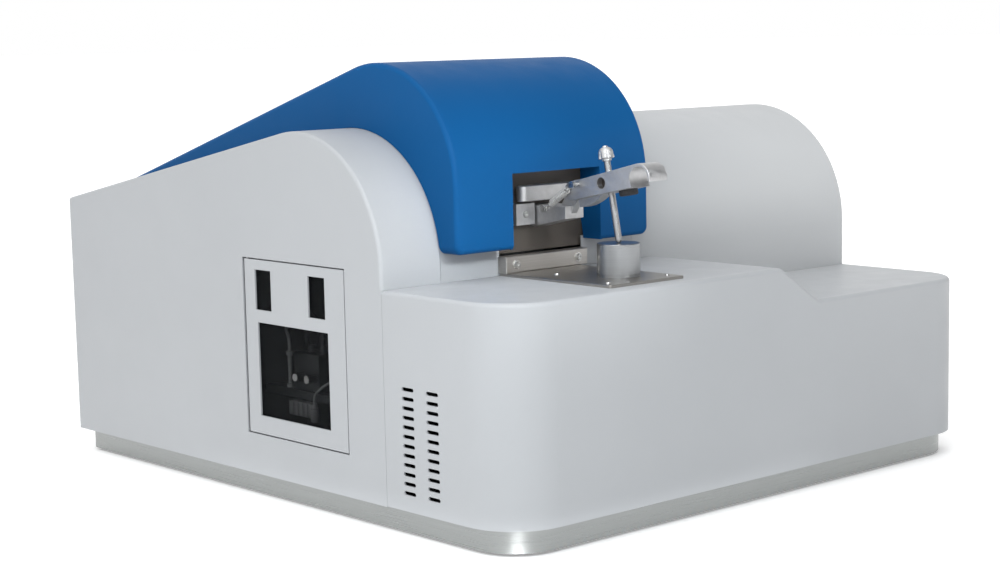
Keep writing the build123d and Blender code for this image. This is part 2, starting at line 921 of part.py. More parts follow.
electrode_foot = holder_top - holder_grip_length
with BuildPart() as counter_electrode:
    with BuildSketch(Plane.XZ.offset(-spark_y)):
        with BuildLine():
            Polyline(
                (stand_x, electrode_foot),
                (stand_x + electrode_radius, electrode_foot),
                (stand_x + electrode_radius, electrode_tip - electrode_cone),
                (stand_x, electrode_tip),
                close=True,
            )
        make_face()
    revolve(axis=Axis((stand_x, spark_y, 0), (0, 0, 1)))
counter_electrode.part.label = "counter_electrode"
export_step(counter_electrode.part, "parts/counter_electrode.step")

with BuildPart() as light_tube:
    with BuildSketch(Plane.XZ.offset(-(spark_y + chamber_bore_radius + light_tube_wall))):
        with Locations((stand_x, bore_mid)):
            Circle(light_tube_radius)
            Circle(light_tube_radius - light_tube_wall, mode=Mode.SUBTRACT)
    extrude(amount=-(optics_y0 + optics_wall - spark_y - chamber_bore_radius - light_tube_wall))
light_tube.part.label = "light_tube"
export_step(light_tube.part, "parts/light_tube.step")

# Metal sample over the spark hole
with BuildPart() as setup_sample:
    with BuildSketch(Plane.XZ.offset(-spark_y)):
        with BuildLine():
            Polyline(
                (stand_x, plate_top + rest_gap),
                (stand_x + sample_radius, plate_top + rest_gap),
                (stand_x + sample_radius, plate_top + sample_ring_height),
                (stand_x + sample_radius - sample_groove_depth, plate_top + sample_ring_height),
                (
                    stand_x + sample_radius - sample_groove_depth,
                    plate_top + sample_ring_height + sample_groove_height,
                ),
                (stand_x + sample_radius, plate_top + sample_ring_height + sample_groove_height),
                (stand_x + sample_radius, sample_top - sample_chamfer),
                (stand_x + sample_radius - sample_chamfer, sample_top),
                (stand_x, sample_top),
                close=True,
            )
        make_face()
    revolve(axis=Axis((stand_x, spark_y, 0), (0, 0, 1)))
setup_sample.part.label = "setup_sample"
export_step(setup_sample.part, "parts/setup_sample.step")

# Clamp arm, drawn in its own plane: u runs from the pivot to the finger hook, v across the bar
tilt = radians(clamp_tilt)
along = (0, -cos(tilt), sin(tilt))
across = (0, sin(tilt), cos(tilt))


def clamp_plane(x):
    """Plane of the arm's side profile at a place x, its normal pointing left."""
    return Plane((x, pivot_y, pivot_height), x_dir=along, z_dir=(-1, 0, 0))


def clamp_point(u, v):
    """A point of the arm's centre plane."""
    return (stand_x, pivot_y + u * along[1] + v * across[1], pivot_height + u * along[2] + v * across[2])


def rod_plane(u, v):
    """Plane across the press rod, its normal pointing up along the rod."""
    return Plane(clamp_point(u, v), x_dir=(1, 0, 0), z_dir=across)


heel_radius = (arm_above + arm_below) / 2
heel_v = (arm_above - arm_below) / 2
hook_top = hook_radius - hook_drop
scoop_radius = hook_radius - hook_wall
scoop_angle = degrees(asin((arm_below - hook_drop) / scoop_radius))
scoop_u = arm_reach - scoop_radius * cos(radians(scoop_angle))
hook_end = radians(hook_end_angle)
keel_mid_u = (keel_start + keel_end) / 2
keel_mid_v = -arm_below - keel_depth * keel_belly_share
with BuildPart() as clamp_arm:
    with BuildSketch(clamp_plane(arm_x0 + arm_width)):
        with BuildLine():
            CenterArc((0, heel_v), heel_radius, 90, 180)
            Line((0, arm_above), (arm_reach, hook_top))
            CenterArc((arm_reach, -hook_drop), hook_radius, hook_end_angle, 90 - hook_end_angle)
            Line(
                (arm_reach + hook_radius * cos(hook_end), -hook_drop + hook_radius * sin(hook_end)),
                (arm_reach + scoop_radius * cos(hook_end), -hook_drop + scoop_radius * sin(hook_end)),
            )
            CenterArc(
                (arm_reach, -hook_drop), scoop_radius, hook_end_angle, 180 + scoop_angle - hook_end_angle
            )
            Line((scoop_u, -arm_below), (0, -arm_below))
        make_face()
    extrude(amount=arm_width)
    side_faces = clamp_arm.faces().filter_by(Axis.X)
    fillet(side_faces.edges().filter_by(GeomType.LINE), arm_edge_radius)
    with BuildSketch(clamp_plane(stand_x + keel_width / 2)):
        with BuildLine():
            Line((keel_end, -arm_below), (keel_end, -heel_radius))
            Line((keel_end, -heel_radius), (keel_start, -heel_radius))
            Line((keel_start, -heel_radius), (keel_start, -arm_below - keel_depth))
            ThreePointArc(
                (keel_start, -arm_below - keel_depth), (keel_mid_u, keel_mid_v), (keel_end, -arm_below)
            )
        make_face()
    extrude(amount=keel_width)
    with BuildSketch(clamp_plane(stand_x + lug_width / 2 + seam)):
        with Locations((lug_radius + seam - arm_reach / 2, 0)):
            Rectangle(arm_reach, 4 * arm_below)
    extrude(amount=lug_width + 2 * seam, mode=Mode.SUBTRACT)
    with BuildSketch(clamp_plane(arm_x0 + arm_width + overrun)):
        Circle(pin_radius + running_gap)
        with Locations((rod_reach, -barrel_drop)):
            Circle(barrel_radius + fixed_gap)
    extrude(amount=arm_width + 2 * overrun, mode=Mode.SUBTRACT)
    with BuildSketch(rod_plane(rod_reach, -2 * arm_below)):
        Circle(rod_radius + running_gap)
    extrude(amount=4 * arm_below, mode=Mode.SUBTRACT)
    with BuildSketch(clamp_plane(arm_x0)):
        with Locations((upper_anchor_reach, upper_anchor_rise)):
            Circle(anchor_radius + fixed_gap)
    extrude(amount=-anchor_thread, mode=Mode.SUBTRACT)
clamp_arm.part.label = "clamp_arm"
export_step(clamp_arm.part, "parts/clamp_arm.step")

with BuildPart() as rod_barrel:
    with BuildSketch(clamp_plane(arm_x0 + arm_width - barrel_recess)):
        with Locations((rod_reach, -barrel_drop)):
            Circle(barrel_radius)
    extrude(amount=arm_width - 2 * barrel_recess)
    with BuildSketch(rod_plane(rod_reach, -2 * arm_below)):
        Circle(rod_radius + running_gap)
    extrude(amount=4 * arm_below, mode=Mode.SUBTRACT)
rod_barrel.part.label = "rod_barrel"
export_step(rod_barrel.part, "parts/rod_barrel.step")

with BuildPart() as arm_pad:
    with BuildSketch(rod_plane(pad_reach, -arm_below)):
        Circle(pad_radius)
    extrude(amount=-pad_height)
    pad_rim = arm_pad.edges().sort_by(Axis(clamp_point(pad_reach, 0), across))[0]
    fillet(pad_rim, pad_edge_radius)
arm_pad.part.label = "arm_pad"
export_step(arm_pad.part, "parts/arm_pad.step")

# Press rod with a ball tip on the sample, and its knob
rod_foot_z = sample_top + rest_gap + rod_radius
rod_foot = (rod_foot_z - pivot_height - rod_reach * along[2]) / across[2]
with BuildPart() as press_rod:
    with BuildSketch(rod_plane(rod_reach, rod_foot)):
        Circle(rod_radius)
    extrude(amount=rod_above + knob_grip - rod_foot)
    with Locations(clamp_point(rod_reach, rod_foot)):
        Sphere(rod_radius)
press_rod.part.label = "press_rod"
export_step(press_rod.part, "parts/press_rod.step")

knob_base = clamp_point(rod_reach, rod_above)
knob_side = Plane(knob_base, x_dir=(1, 0, 0), z_dir=along)
with BuildPart() as rod_knob:
    with BuildSketch(knob_side):
        with BuildLine():
            Polyline(
                (rod_radius + fixed_gap, 0),
                (knob_collar_radius, 0),
                (knob_collar_radius, knob_collar_height),
                (knob_radius - knob_rim, knob_collar_height),
                (knob_radius, knob_collar_height + knob_rim),
                (knob_radius - knob_rim, knob_height - knob_dome_height),
            )
            ThreePointArc(
                (knob_radius - knob_rim, knob_height - knob_dome_height),
                (knob_radius * knob_shoulder_share, knob_height - knob_dome_height * knob_crown_share),
                (knob_socket_radius, knob_height),
            )
            Polyline(
                (knob_socket_radius, knob_height),
                (0, knob_height),
                (0, knob_grip),
                (rod_radius + fixed_gap, knob_grip),
                (rod_radius + fixed_gap, 0),
            )
        make_face()
    revolve(axis=Axis(knob_base, across))
    with BuildSketch(rod_plane(rod_reach, rod_above + knob_collar_height)):
        with PolarLocations(knob_radius + knob_flute_radius / 2, knob_flutes):
            Circle(knob_flute_radius)
    extrude(amount=knob_height, mode=Mode.SUBTRACT)
rod_knob.part.label = "rod_knob"
export_step(rod_knob.part, "parts/rod_knob.step")

# Clamp base: block with a pivot lug, and an ear screwed to the dark panel
base_y0 = wall_y - base_reach
with BuildPart() as clamp_base:
    with BuildSketch(Plane.YZ.offset(arm_x0)):
        with BuildLine():
            Polyline(
                (base_y0, base_top - base_front_height),
                (base_y0, base_top),
                (back_panel_y, base_top),
                (back_panel_y, base_top - base_rear_height),
                close=True,
            )
        make_face()
    extrude(amount=arm_width)
    chamfer(clamp_base.edges().filter_by(Axis.Y), base_edge)
    with BuildSketch(Plane.YZ.offset(stand_x - lug_width / 2)):
        with Locations((pivot_y, pivot_height)):
            Circle(lug_radius)
        with Locations((base_y0 + lug_radius, base_top - lug_radius / 2)):
            Rectangle(2 * lug_radius, lug_radius)
        make_hull()
    extrude(amount=lug_width)
    add(
        span(
            ear_x - ear_width / 2,
            ear_x + ear_width / 2,
            ear_y,
            back_panel_y,
            ear_top - ear_height,
            ear_top,
        )
    )
    add(
        span(
            ear_x,
            arm_x0 + base_edge,
            ear_y + ear_groove_depth,
            back_panel_y,
            ear_top - ear_height,
            base_top - base_edge,
        )
    )
    with BuildSketch(Plane.YZ.offset(stand_x - arm_width)):
        with Locations((pivot_y, pivot_height)):
            Circle(pin_radius + fixed_gap)
    extrude(amount=2 * arm_width, mode=Mode.SUBTRACT)
    with BuildSketch(Plane.YZ.offset(arm_x0)):
        with Locations((wall_y - lower_anchor_reach, base_top - lower_anchor_drop)):
            Circle(anchor_radius + fixed_gap)
    extrude(amount=anchor_thread, mode=Mode.SUBTRACT)
    with BuildSketch(Plane.XZ.offset(-ear_y)):
        with Locations((ear_x, ear_z)):
            Circle(m4_radius + fixed_gap)
    extrude(amount=-ear_depth, mode=Mode.SUBTRACT)
clamp_base.part.label = "clamp_base"
export_step(clamp_base.part, "parts/clamp_base.step")

clamp_seats = [seat.offset(washer_height) for seat in bar_seats]
clamp_seats.append(Plane((ear_x, ear_y, ear_z), x_dir=(1, 0, 0), z_dir=(0, -1, 0)))
clamp_screws = screw_group(
    clamp_seats,
    m4_radius,
    m4_head_radius,
    m4_head_height,
    m4_socket_radius,
    ear_depth + back_panel_thickness,
)
clamp_screws.label = "clamp_screws"
export_step(clamp_screws, "parts/clamp_screws.step")

crossbar_y = bar_y + crossbar_thickness / 2
with BuildPart() as clamp_crossbar:
    with BuildSketch(Plane.XY.offset(crossbar_bottom)):
        with Locations((crossbar_x, crossbar_y)):
            SlotOverall(crossbar_length, crossbar_thickness)
    extrude(amount=crossbar_height)
    chamfer(clamp_crossbar.faces().filter_by(Axis.Z).edges(), crossbar_edge)
    with BuildSketch(Plane.XZ.offset(-back_panel_y)):
        with Locations((crossbar_x, crossbar_z)):
            with GridLocations(standoff_spread, 1, 2, 1):
                Circle(standoff_radius)
    extrude(amount=back_panel_y - crossbar_y)
clamp_crossbar.part.label = "clamp_crossbar"
export_step(clamp_crossbar.part, "parts/clamp_crossbar.step")

with BuildPart() as clamp_pivot_pin:
    with BuildSketch(Plane.YZ.offset(arm_x0)):
        with Locations((pivot_y, pivot_height)):
            Circle(pin_radius)
    extrude(amount=arm_width + rest_gap)
    with BuildSketch(Plane.YZ.offset(arm_x0 + arm_width + rest_gap)):
        with Locations((pivot_y, pivot_height)):
            Circle(pin_head_radius)
    extrude(amount=pin_head_height)
clamp_pivot_pin.part.label = "clamp_pivot_pin"
export_step(clamp_pivot_pin.part, "parts/clamp_pivot_pin.step")


# Anchor screws of the clamp spring
def anchor_screw(y, z):
    with BuildPart() as screw:
        with BuildSketch(Plane.YZ.offset(arm_x0 + anchor_thread)):
            with Locations((y, z)):
                Circle(anchor_radius)
        extrude(amount=-(anchor_thread + anchor_shank))
        with BuildSketch(Plane.YZ.offset(arm_x0 - anchor_shank)):
            with Locations((y, z)):
                Circle(anchor_head_radius)
        extrude(amount=-anchor_head_height)
    return screw.part


lower_anchor = (wall_y - lower_anchor_reach, base_top - lower_anchor_drop)
upper_anchor = clamp_point(upper_anchor_reach, upper_anchor_rise)[1:]
spring_base_screw = anchor_screw(*lower_anchor)
spring_base_screw.label = "spring_base_screw"
export_step(spring_base_screw, "parts/spring_base_screw.step")
spring_arm_screw = anchor_screw(*upper_anchor)
spring_arm_screw.label = "spring_arm_screw"
export_step(spring_arm_screw, "parts/spring_arm_screw.step")


# Clamp spring: one wire with a close coil and an open hook round each anchor screw
spring_x = arm_x0 - spring_offset
spring_run = (upper_anchor[0] - lower_anchor[0], upper_anchor[1] - lower_anchor[1])
spring_span = sqrt(spring_run[0] ** 2 + spring_run[1] ** 2)
spring_axis = (spring_run[0] / spring_span, spring_run[1] / spring_span)
spring_mid = ((upper_anchor[0] + lower_anchor[0]) / 2, (upper_anchor[1] + lower_anchor[1]) / 2)
coil_rise = spring_pitch * spring_turns
bend_radius = spring_radius / 2
loop_radius = anchor_radius + spring_wire_radius + spring_clear
loop_reach = spring_span / 2


def spring_place(s, p, x):
    """A point given along the spring, square to it and sideways from its centre."""
    y = spring_mid[0] + s * spring_axis[0] - p * spring_axis[1]
    z = spring_mid[1] + s * spring_axis[1] + p * spring_axis[0]
    return Vector(spring_x + x, y, z)


def spring_heading(s, p, x):
    return (spring_place(s, p, x) - spring_place(0, 0, 0)).normalized()


def coil_point(turn):
    angle = 2 * pi * turn - pi / 2
    return (turn * spring_pitch, spring_radius * cos(angle), spring_radius * sin(angle))


def coil_heading(turn):
    angle = 2 * pi * turn - pi / 2
    slope = spring_pitch / (2 * pi * spring_radius)
    return (slope, -sin(angle), cos(angle))


hook_half = [
    ((coil_rise / 2 + bend_radius / 2, loop_radius - bend_radius, -spring_radius), (0, 1, 0)),
    ((coil_rise / 2 + bend_radius / 2, loop_radius, -bend_radius), (0, 0, 1)),
    ((coil_rise / 2 + 3 * bend_radius / 2, loop_radius, 0), (1, 0, 0)),
    ((loop_reach, loop_radius, 0), (1, 0, 0)),
    ((loop_reach + loop_radius, 0, 0), (0, -1, 0)),
    ((loop_reach, -loop_radius, 0), (-1, 0, 0)),
    ((loop_reach - loop_radius, 0, 0), (0, 1, 0)),
]
coil_steps = 2 * spring_turns
coil_half = [
    (coil_point(step / 2 - spring_turns / 2), coil_heading(step / 2 - spring_turns / 2))
    for step in range(coil_steps + 1)
]
first_half = [((-s, -p, x), (ds, dp, -dx)) for (s, p, x), (ds, dp, dx) in reversed(hook_half)]
wire_stations = [
    (spring_place(*place), spring_heading(*heading))
    for place, heading in first_half + coil_half + hook_half
]


def biarc_joint(start, start_heading, end, end_heading):
    """Where the two arcs of one stretch of wire meet."""
    chord = end - start
    turning = 1 - start_heading.dot(end_heading)
    reach = chord.dot(start_heading + end_heading)
    if turning < nearly_straight:
        arm = chord.length / 4
    else:
        arm = (sqrt(reach**2 + 2 * turning * chord.dot(chord)) - reach) / (2 * turning)
    return (start + start_heading * arm + end - end_heading * arm) * (1 / 2)


with BuildLine() as spring_line:
    for (start, start_heading), (end, end_heading) in zip(wire_stations, wire_stations[1:]):
        direct = (end - start).normalized()
        if direct.dot(start_heading) > 1 - nearly_straight:
            Line(start, end)
        else:
            middle = biarc_joint(start, start_heading, end, end_heading)
            TangentArc(start, middle, tangent=start_heading)
            TangentArc(end, middle, tangent=-end_heading)
with BuildPart() as clamp_spring:
    with BuildSketch(Plane(wire_stations[0][0], z_dir=wire_stations[0][1])):
        Circle(spring_wire_radius)
    sweep(path=spring_line.wires()[0])
clamp_spring.part.label = "clamp_spring"
export_step(clamp_spring.part, "parts/clamp_spring.step")

wire_path = spring_line.wires()[0]
wire_points = [wire_path.position_at(step / wire_samples) for step in range(wire_samples + 1)]
wire_step = wire_path.length / wire_samples
skip = ceil(pi * bend_radius / wire_step)
wire_gap = min(
    (one - other).length
    for index, one in enumerate(wire_points)
    for other in wire_points[index + skip :]
)
print("least gap of the spring wire to itself, mm:", round(wire_gap - 2 * spring_wire_radius, 2))

# Door frame with the hinge lugs and a stop lip, behind the left cover
hinge_x = left + hinge_radius
hinge_y = door_y1 - hinge_radius
frame_x0 = left + sheet + fixed_gap
lip_x = left + door_flange_depth + rest_gap
lip_y1 = hinge_y - hinge_radius - door_gap
door_z = (door_bottom + door_top) / 2
with BuildPart() as door_frame:
    add(
        span(
            frame_x0,
            lip_x + door_sheet,
            door_y0 - door_gap - frame_width,
            door_y1 + door_gap + frame_width,
            door_bottom - door_gap - frame_width,
            door_top + door_gap + frame_width,
        )
    )
    add(
        span(
            frame_x0 - overrun,
            lip_x + door_sheet + overrun,
            door_y0 - door_gap,
            door_y1 + door_gap,
            door_bottom - door_gap,
            door_top + door_gap,
        ),
        mode=Mode.SUBTRACT,
    )
    with BuildSketch(Plane.YZ.offset(lip_x)):
        with Locations(((door_y0 - door_gap + lip_y1) / 2, door_z)):
            Rectangle(lip_y1 - door_y0 + door_gap, door_height + 2 * door_gap)
        with Locations(((door_y0 + frame_lip + lip_y1 + overrun) / 2, door_z)):
            Rectangle(
                lip_y1 + overrun - door_y0 - frame_lip,
                door_height - 2 * frame_lip,
                mode=Mode.SUBTRACT,
            )
    extrude(amount=door_sheet)
    with BuildSketch(Plane.XY.offset(door_bottom - door_gap - hinge_lug_height)):
        with Locations((hinge_x, hinge_y)):
            Circle(hinge_pin_radius + fixed_gap)
    extrude(amount=door_height + 2 * door_gap + 2 * hinge_lug_height, mode=Mode.SUBTRACT)
door_frame.part.label = "door_frame"
export_step(door_frame.part, "parts/door_frame.step")

with BuildPart() as door_hinge_pin:
    with BuildSketch(Plane.XY.offset(door_bottom - door_gap - hinge_lug_height + seam)):
        with Locations((hinge_x, hinge_y)):
            Circle(hinge_pin_radius)
    extrude(amount=door_height + 2 * door_gap + 2 * (hinge_lug_height - seam))
door_hinge_pin.part.label = "door_hinge_pin"
export_step(door_hinge_pin.part, "parts/door_hinge_pin.step")

# Service door: flanged sheet with three windows and a rolled hinge edge
window_boxes = [
    (
        door_y0 + front_window_inset + small_window_width / 2,
        door_top - small_window_drop - small_window_height / 2,
        small_window_width,
        small_window_height,
    ),
    (
        door_y1 - rear_window_inset - small_window_width / 2,
        door_top - small_window_drop - small_window_height / 2,
        small_window_width,
        small_window_height,
    ),
    (
        door_y0 + large_window_inset + (door_length - large_window_margin) / 2,
        door_bottom + large_window_rise + (door_height - large_window_space) / 2,
        door_length - large_window_margin,
        door_height - large_window_space,
    ),
]
with BuildPart() as service_door:
    add(span(left, left + door_flange_depth, door_y0, hinge_y, door_bottom, door_top))
    add(
        span(
            left + door_sheet,
            left + door_flange_depth + overrun,
            door_y0 + door_sheet,
            hinge_y,
            door_bottom + door_sheet,
            door_top - door_sheet,
        ),
        mode=Mode.SUBTRACT,
    )
    with BuildSketch(Plane.XY.offset(door_bottom)):
        with Locations((hinge_x, hinge_y)):
            Circle(hinge_radius)
            Circle(hinge_pin_radius + running_gap, mode=Mode.SUBTRACT)
    extrude(amount=door_height)
    with BuildSketch(Plane.XY.offset(door_bottom)):
        with Locations((hinge_x, hinge_y)):
            Circle(hinge_pin_radius + running_gap)
    extrude(amount=door_height, mode=Mode.SUBTRACT)
    with BuildSketch(Plane.YZ.offset(left)):
        for window_y, window_z, wide, high in window_boxes:
            with Locations((window_y, window_z)):
                Rectangle(wide, high)
    extrude(amount=door_sheet, mode=Mode.SUBTRACT)
service_door.part.label = "service_door"
export_step(service_door.part, "parts/service_door.step")

with BuildPart() as door_panes:
    with BuildSketch(Plane.YZ.offset(left + door_sheet)):
        for window_y, window_z, wide, high in window_boxes:
            with Locations((window_y, window_z)):
                Rectangle(wide + 2 * pane_margin, high + 2 * pane_margin)
    extrude(amount=pane_thickness)
door_panes.part.label = "door_panes"
export_step(door_panes.part, "parts/door_panes.step")

# Service bay with a rail, a gas manifold, a valve and two flow knobs
bay_x0 = lip_x + door_sheet + fixed_gap
bay_x1 = bay_x0 + left_tower_width - bay_margin
bay_y0 = door_y0 - frame_width
bay_y1 = door_y1 + frame_width
bay_z0 = door_bottom - frame_width
bay_z1 = door_top + frame_width
with BuildPart() as service_bay:
    add(span(bay_x0, bay_x1, bay_y0, bay_y1, bay_z0, bay_z1))
    add(
        span(
            bay_x0 - overrun,
            bay_x1 - bay_wall,
            bay_y0 + bay_wall,
            bay_y1 - bay_wall,
            bay_z0 + bay_wall,
            bay_z1 - bay_wall,
        ),
        mode=Mode.SUBTRACT,
    )
service_bay.part.label = "service_bay"
export_step(service_bay.part, "parts/service_bay.step")

rail_x0 = left + rail_setback
rail_top = rail_bottom + rail_height
with BuildPart() as bay_rail:
    add(span(rail_x0, bay_x1 - bay_wall, bay_y0 + bay_wall, bay_y1 - bay_wall, rail_bottom, rail_top))
    with BuildSketch(Plane.XY.offset(rail_bottom)):
        with Locations(((rail_x0 + rail_lip + bay_x1) / 2, (bay_y0 + bay_y1) / 2)):
            Rectangle(bay_x1 - rail_x0 - rail_lip, bay_y1 - bay_y0)
    extrude(amount=rail_height - bay_wall, mode=Mode.SUBTRACT)
bay_rail.part.label = "bay_rail"
export_step(bay_rail.part, "parts/bay_rail.step")

manifold_x0 = rail_x0 + rail_lip
manifold_y0 = door_y0 + manifold_inset
knob_z = rail_top + flow_knob_rise
knob_ys = [manifold_y0 + share * manifold_length for share in flow_knob_shares]
with BuildPart() as gas_manifold:
    add(
        span(
            manifold_x0,
            manifold_x0 + manifold_depth,
            manifold_y0,
            manifold_y0 + manifold_length,
            rail_top,
            rail_top + manifold_height,
        )
    )
    chamfer(gas_manifold.edges().filter_by(Axis.X), sample_chamfer)
    with BuildSketch(Plane.YZ.offset(manifold_x0)):
        with Locations(*[(y, knob_z) for y in knob_ys]):
            Circle(flow_stem_radius + running_gap)
    extrude(amount=flow_stem_length, mode=Mode.SUBTRACT)
    with BuildSketch(Plane.XY.offset(rail_top + manifold_height)):
        with Locations(*[(manifold_x0 + manifold_depth / 2, y) for y in knob_ys]):
            Circle(manifold_port_radius)
    extrude(amount=manifold_port_height)
gas_manifold.part.label = "gas_manifold"
export_step(gas_manifold.part, "parts/gas_manifold.step")

with BuildPart() as solenoid_valve:
    add(
        span(
            manifold_x0,
            manifold_x0 + valve_depth,
            door_y0 + valve_inset,
            door_y0 + valve_inset + valve_length,
            rail_top,
            rail_top + valve_height,
        )
    )
    with BuildSketch(Plane.XY.offset(rail_top + valve_height)):
        with Locations((manifold_x0 + valve_depth / 2, door_y0 + valve_inset + valve_length / 2)):
            Circle(valve_coil_radius)
    extrude(amount=valve_coil_height)
solenoid_valve.part.label = "solenoid_valve"
export_step(solenoid_valve.part, "parts/solenoid_valve.step")


def flow_knob(y):
    """A knurled hand knob with a stem in the manifold and a pointer slot in its face."""
    knob_x = manifold_x0 - seam
    with BuildPart() as knob:
        with BuildSketch(Plane.YZ.offset(knob_x)):
            with Locations((y, knob_z)):
                Circle(flow_knob_radius)
        extrude(amount=-flow_knob_length)
        with BuildSketch(Plane.YZ.offset(knob_x)):
            with Locations((y, knob_z)):
                Circle(flow_stem_radius)
        extrude(amount=flow_stem_length)
        with BuildSketch(Plane.YZ.offset(knob_x - flow_knob_length)):
            with Locations((y, knob_z + flow_knob_radius / 2)):
                Rectangle(pointer_width, flow_knob_radius)
        extrude(amount=pointer_width, mode=Mode.SUBTRACT)
        with BuildSketch(Plane.YZ.offset(knob_x)):
            with Locations((y, knob_z)):
                with PolarLocations(flow_knob_radius, flow_knob_grips):
                    Rectangle(pointer_width, pointer_width)
        extrude(amount=-flow_knob_length, mode=Mode.SUBTRACT)
    return knob.part


spark_flow_knob = flow_knob(knob_ys[1])
spark_flow_knob.label = "spark_flow_knob"
export_step(spark_flow_knob, "parts/spark_flow_knob.step")
purge_flow_knob = flow_knob(knob_ys[0])
purge_flow_knob.label = "purge_flow_knob"
export_step(purge_flow_knob, "parts/purge_flow_knob.step")

# Optics bench on posts, sealed chamber, lid, grating and detector board
optics_x = stand_x
optics_y = optics_y0 + optics_length / 2
with BuildPart() as optics_bench:
    with BuildSketch(Plane.XY.offset(bench_top)):
        with Locations((optics_x, optics_y)):
            Rectangle(optics_width + 2 * bench_margin, optics_length + 2 * bench_margin)
    extrude(amount=-bench_thickness)
    with BuildSketch(Plane.XY.offset(pan_top)):
        with Locations((optics_x, optics_y)):
            with GridLocations(
                optics_width - 2 * bench_post_inset,
                optics_length - 2 * bench_post_inset + 2 * bench_margin,
                2,
                2,
            ):
                Circle(bench_post_radius)
    extrude(amount=bench_top - bench_thickness - pan_top)
optics_bench.part.label = "optics_bench"
export_step(optics_bench.part, "parts/optics_bench.step")

optics_floor = bench_top + optics_wall
optics_top = bench_top + optics_height
with BuildPart() as optics_chamber:
    with BuildSketch(Plane.XY.offset(bench_top)):
        with Locations((optics_x, optics_y)):
            Rectangle(optics_width, optics_length)
    extrude(amount=optics_height)
    with BuildSketch(Plane.XY.offset(optics_floor)):
        with Locations((optics_x, optics_y)):
            Rectangle(optics_width - 2 * optics_wall, optics_length - 2 * optics_wall)
    extrude(amount=optics_height, mode=Mode.SUBTRACT)
    with BuildSketch(Plane.XZ.offset(-optics_y0)):
        with Locations((stand_x, bore_mid)):
            Circle(light_tube_radius + fixed_gap)
    extrude(amount=-optics_wall, mode=Mode.SUBTRACT)
optics_chamber.part.label = "optics_chamber"
export_step(optics_chamber.part, "parts/optics_chamber.step")

with BuildPart() as optics_lid:
    with BuildSketch(Plane.XY.offset(optics_top)):
        with Locations((optics_x, optics_y)):
            Rectangle(optics_width, optics_length)
    extrude(amount=lid_thickness)
    with BuildSketch(Plane.XY.offset(optics_top)):
        with Locations((optics_x, optics_y)):
            Rectangle(optics_width - 2 * (optics_wall + seam), optics_length - 2 * (optics_wall + seam))
    extrude(amount=-lid_spigot)
optics_lid.part.label = "optics_lid"
export_step(optics_lid.part, "parts/optics_lid.step")

grating_y = optics_y0 + optics_length - grating_inset
holder_ring = grating_radius + grating_holder_wall
with BuildPart() as grating_holder:
    with BuildSketch(Plane.XZ.offset(-grating_y)):
        with Locations((stand_x, bore_mid)):
            Circle(holder_ring)
        with Locations((stand_x, (optics_floor + bore_mid) / 2)):
            Rectangle(2 * holder_ring, bore_mid - optics_floor)
    extrude(amount=-grating_thickness - grating_holder_wall)
    with BuildSketch(Plane.XZ.offset(-grating_y)):
        with Locations((stand_x, bore_mid)):
            Circle(grating_radius + fixed_gap)
    extrude(amount=-grating_thickness, mode=Mode.SUBTRACT)
grating_holder.part.label = "grating_holder"
export_step(grating_holder.part, "parts/grating_holder.step")

dish_centre_y = grating_y - sqrt(grating_dish_radius**2 - (grating_radius * grating_dish_share) ** 2)
with BuildPart() as grating:
    with BuildSketch(Plane.XZ.offset(-grating_y)):
        with Locations((stand_x, bore_mid)):
            Circle(grating_radius)
    extrude(amount=-grating_thickness + fixed_gap)
    with Locations((stand_x, dish_centre_y, bore_mid)):
        Sphere(grating_dish_radius, mode=Mode.SUBTRACT)
grating.part.label = "grating"
export_step(grating.part, "parts/grating.step")

detector_x = optics_x - optics_width / 2 + optics_wall + detector_inset
detector_y = optics_y0 + optics_length * detector_share
with BuildPart() as detector_board:
    add(
        span(
            detector_x,
            detector_x + detector_thickness,
            detector_y - detector_length / 2,
            detector_y + detector_length / 2,
            optics_floor,
            bore_mid + detector_height / 2,
        )
    )
    with BuildSketch(Plane.YZ.offset(detector_x + detector_thickness)):
        with Locations((detector_y, bore_mid)):
            Rectangle(detector_length - 2 * detector_window_height, detector_window_height)
    extrude(amount=-detector_window_depth, mode=Mode.SUBTRACT)
detector_board.part.label = "detector_board"
export_step(detector_board.part, "parts/detector_board.step")

# Spark source, power supply and controller board on the base pan
source_height = bench_top - bench_thickness - pan_top - source_fin_height - source_headroom
units_x0 = optics_x + optics_width / 2 + unit_spacing
units_x1 = right - sheet - unit_spacing
units_x = (units_x0 + units_x1) / 2
supply_width = (units_x1 - units_x0) * supply_share
supply_y = wall_y + supply_setback + supply_length / 2
board_width = (units_x1 - units_x0) * board_share
board_y = wall_y + board_setback + board_length / 2
with BuildPart() as spark_source_unit:
    with BuildSketch(Plane.XY.offset(pan_top)):
        with Locations((optics_x, optics_y)):
            Rectangle(source_width, source_length)
    extrude(amount=source_height)
    with BuildSketch(Plane.XY.offset(pan_top + source_height)):
        with Locations((optics_x, optics_y)):
            with GridLocations(source_width / source_fins, 1, source_fins, 1):
                Rectangle(source_fin_thickness, source_length)
    extrude(amount=source_fin_height)
spark_source_unit.part.label = "spark_source_unit"
export_step(spark_source_unit.part, "parts/spark_source_unit.step")

with BuildPart() as power_supply:
    with BuildSketch(Plane.XY.offset(pan_top)):
        with Locations((units_x, supply_y)):
            Rectangle(supply_width, supply_length)
    extrude(amount=supply_height)
    with BuildSketch(Plane.XZ.offset(-(supply_y - supply_length / 2))):
        with Locations((units_x, pan_top + supply_height / 2)):
            with GridLocations(1, supply_height / (supply_slots + 1), 1, supply_slots):
                Rectangle(supply_slot_width, supply_slot_height)
    extrude(amount=-supply_slot_depth, mode=Mode.SUBTRACT)
power_supply.part.label = "power_supply"
export_step(power_supply.part, "parts/power_supply.step")

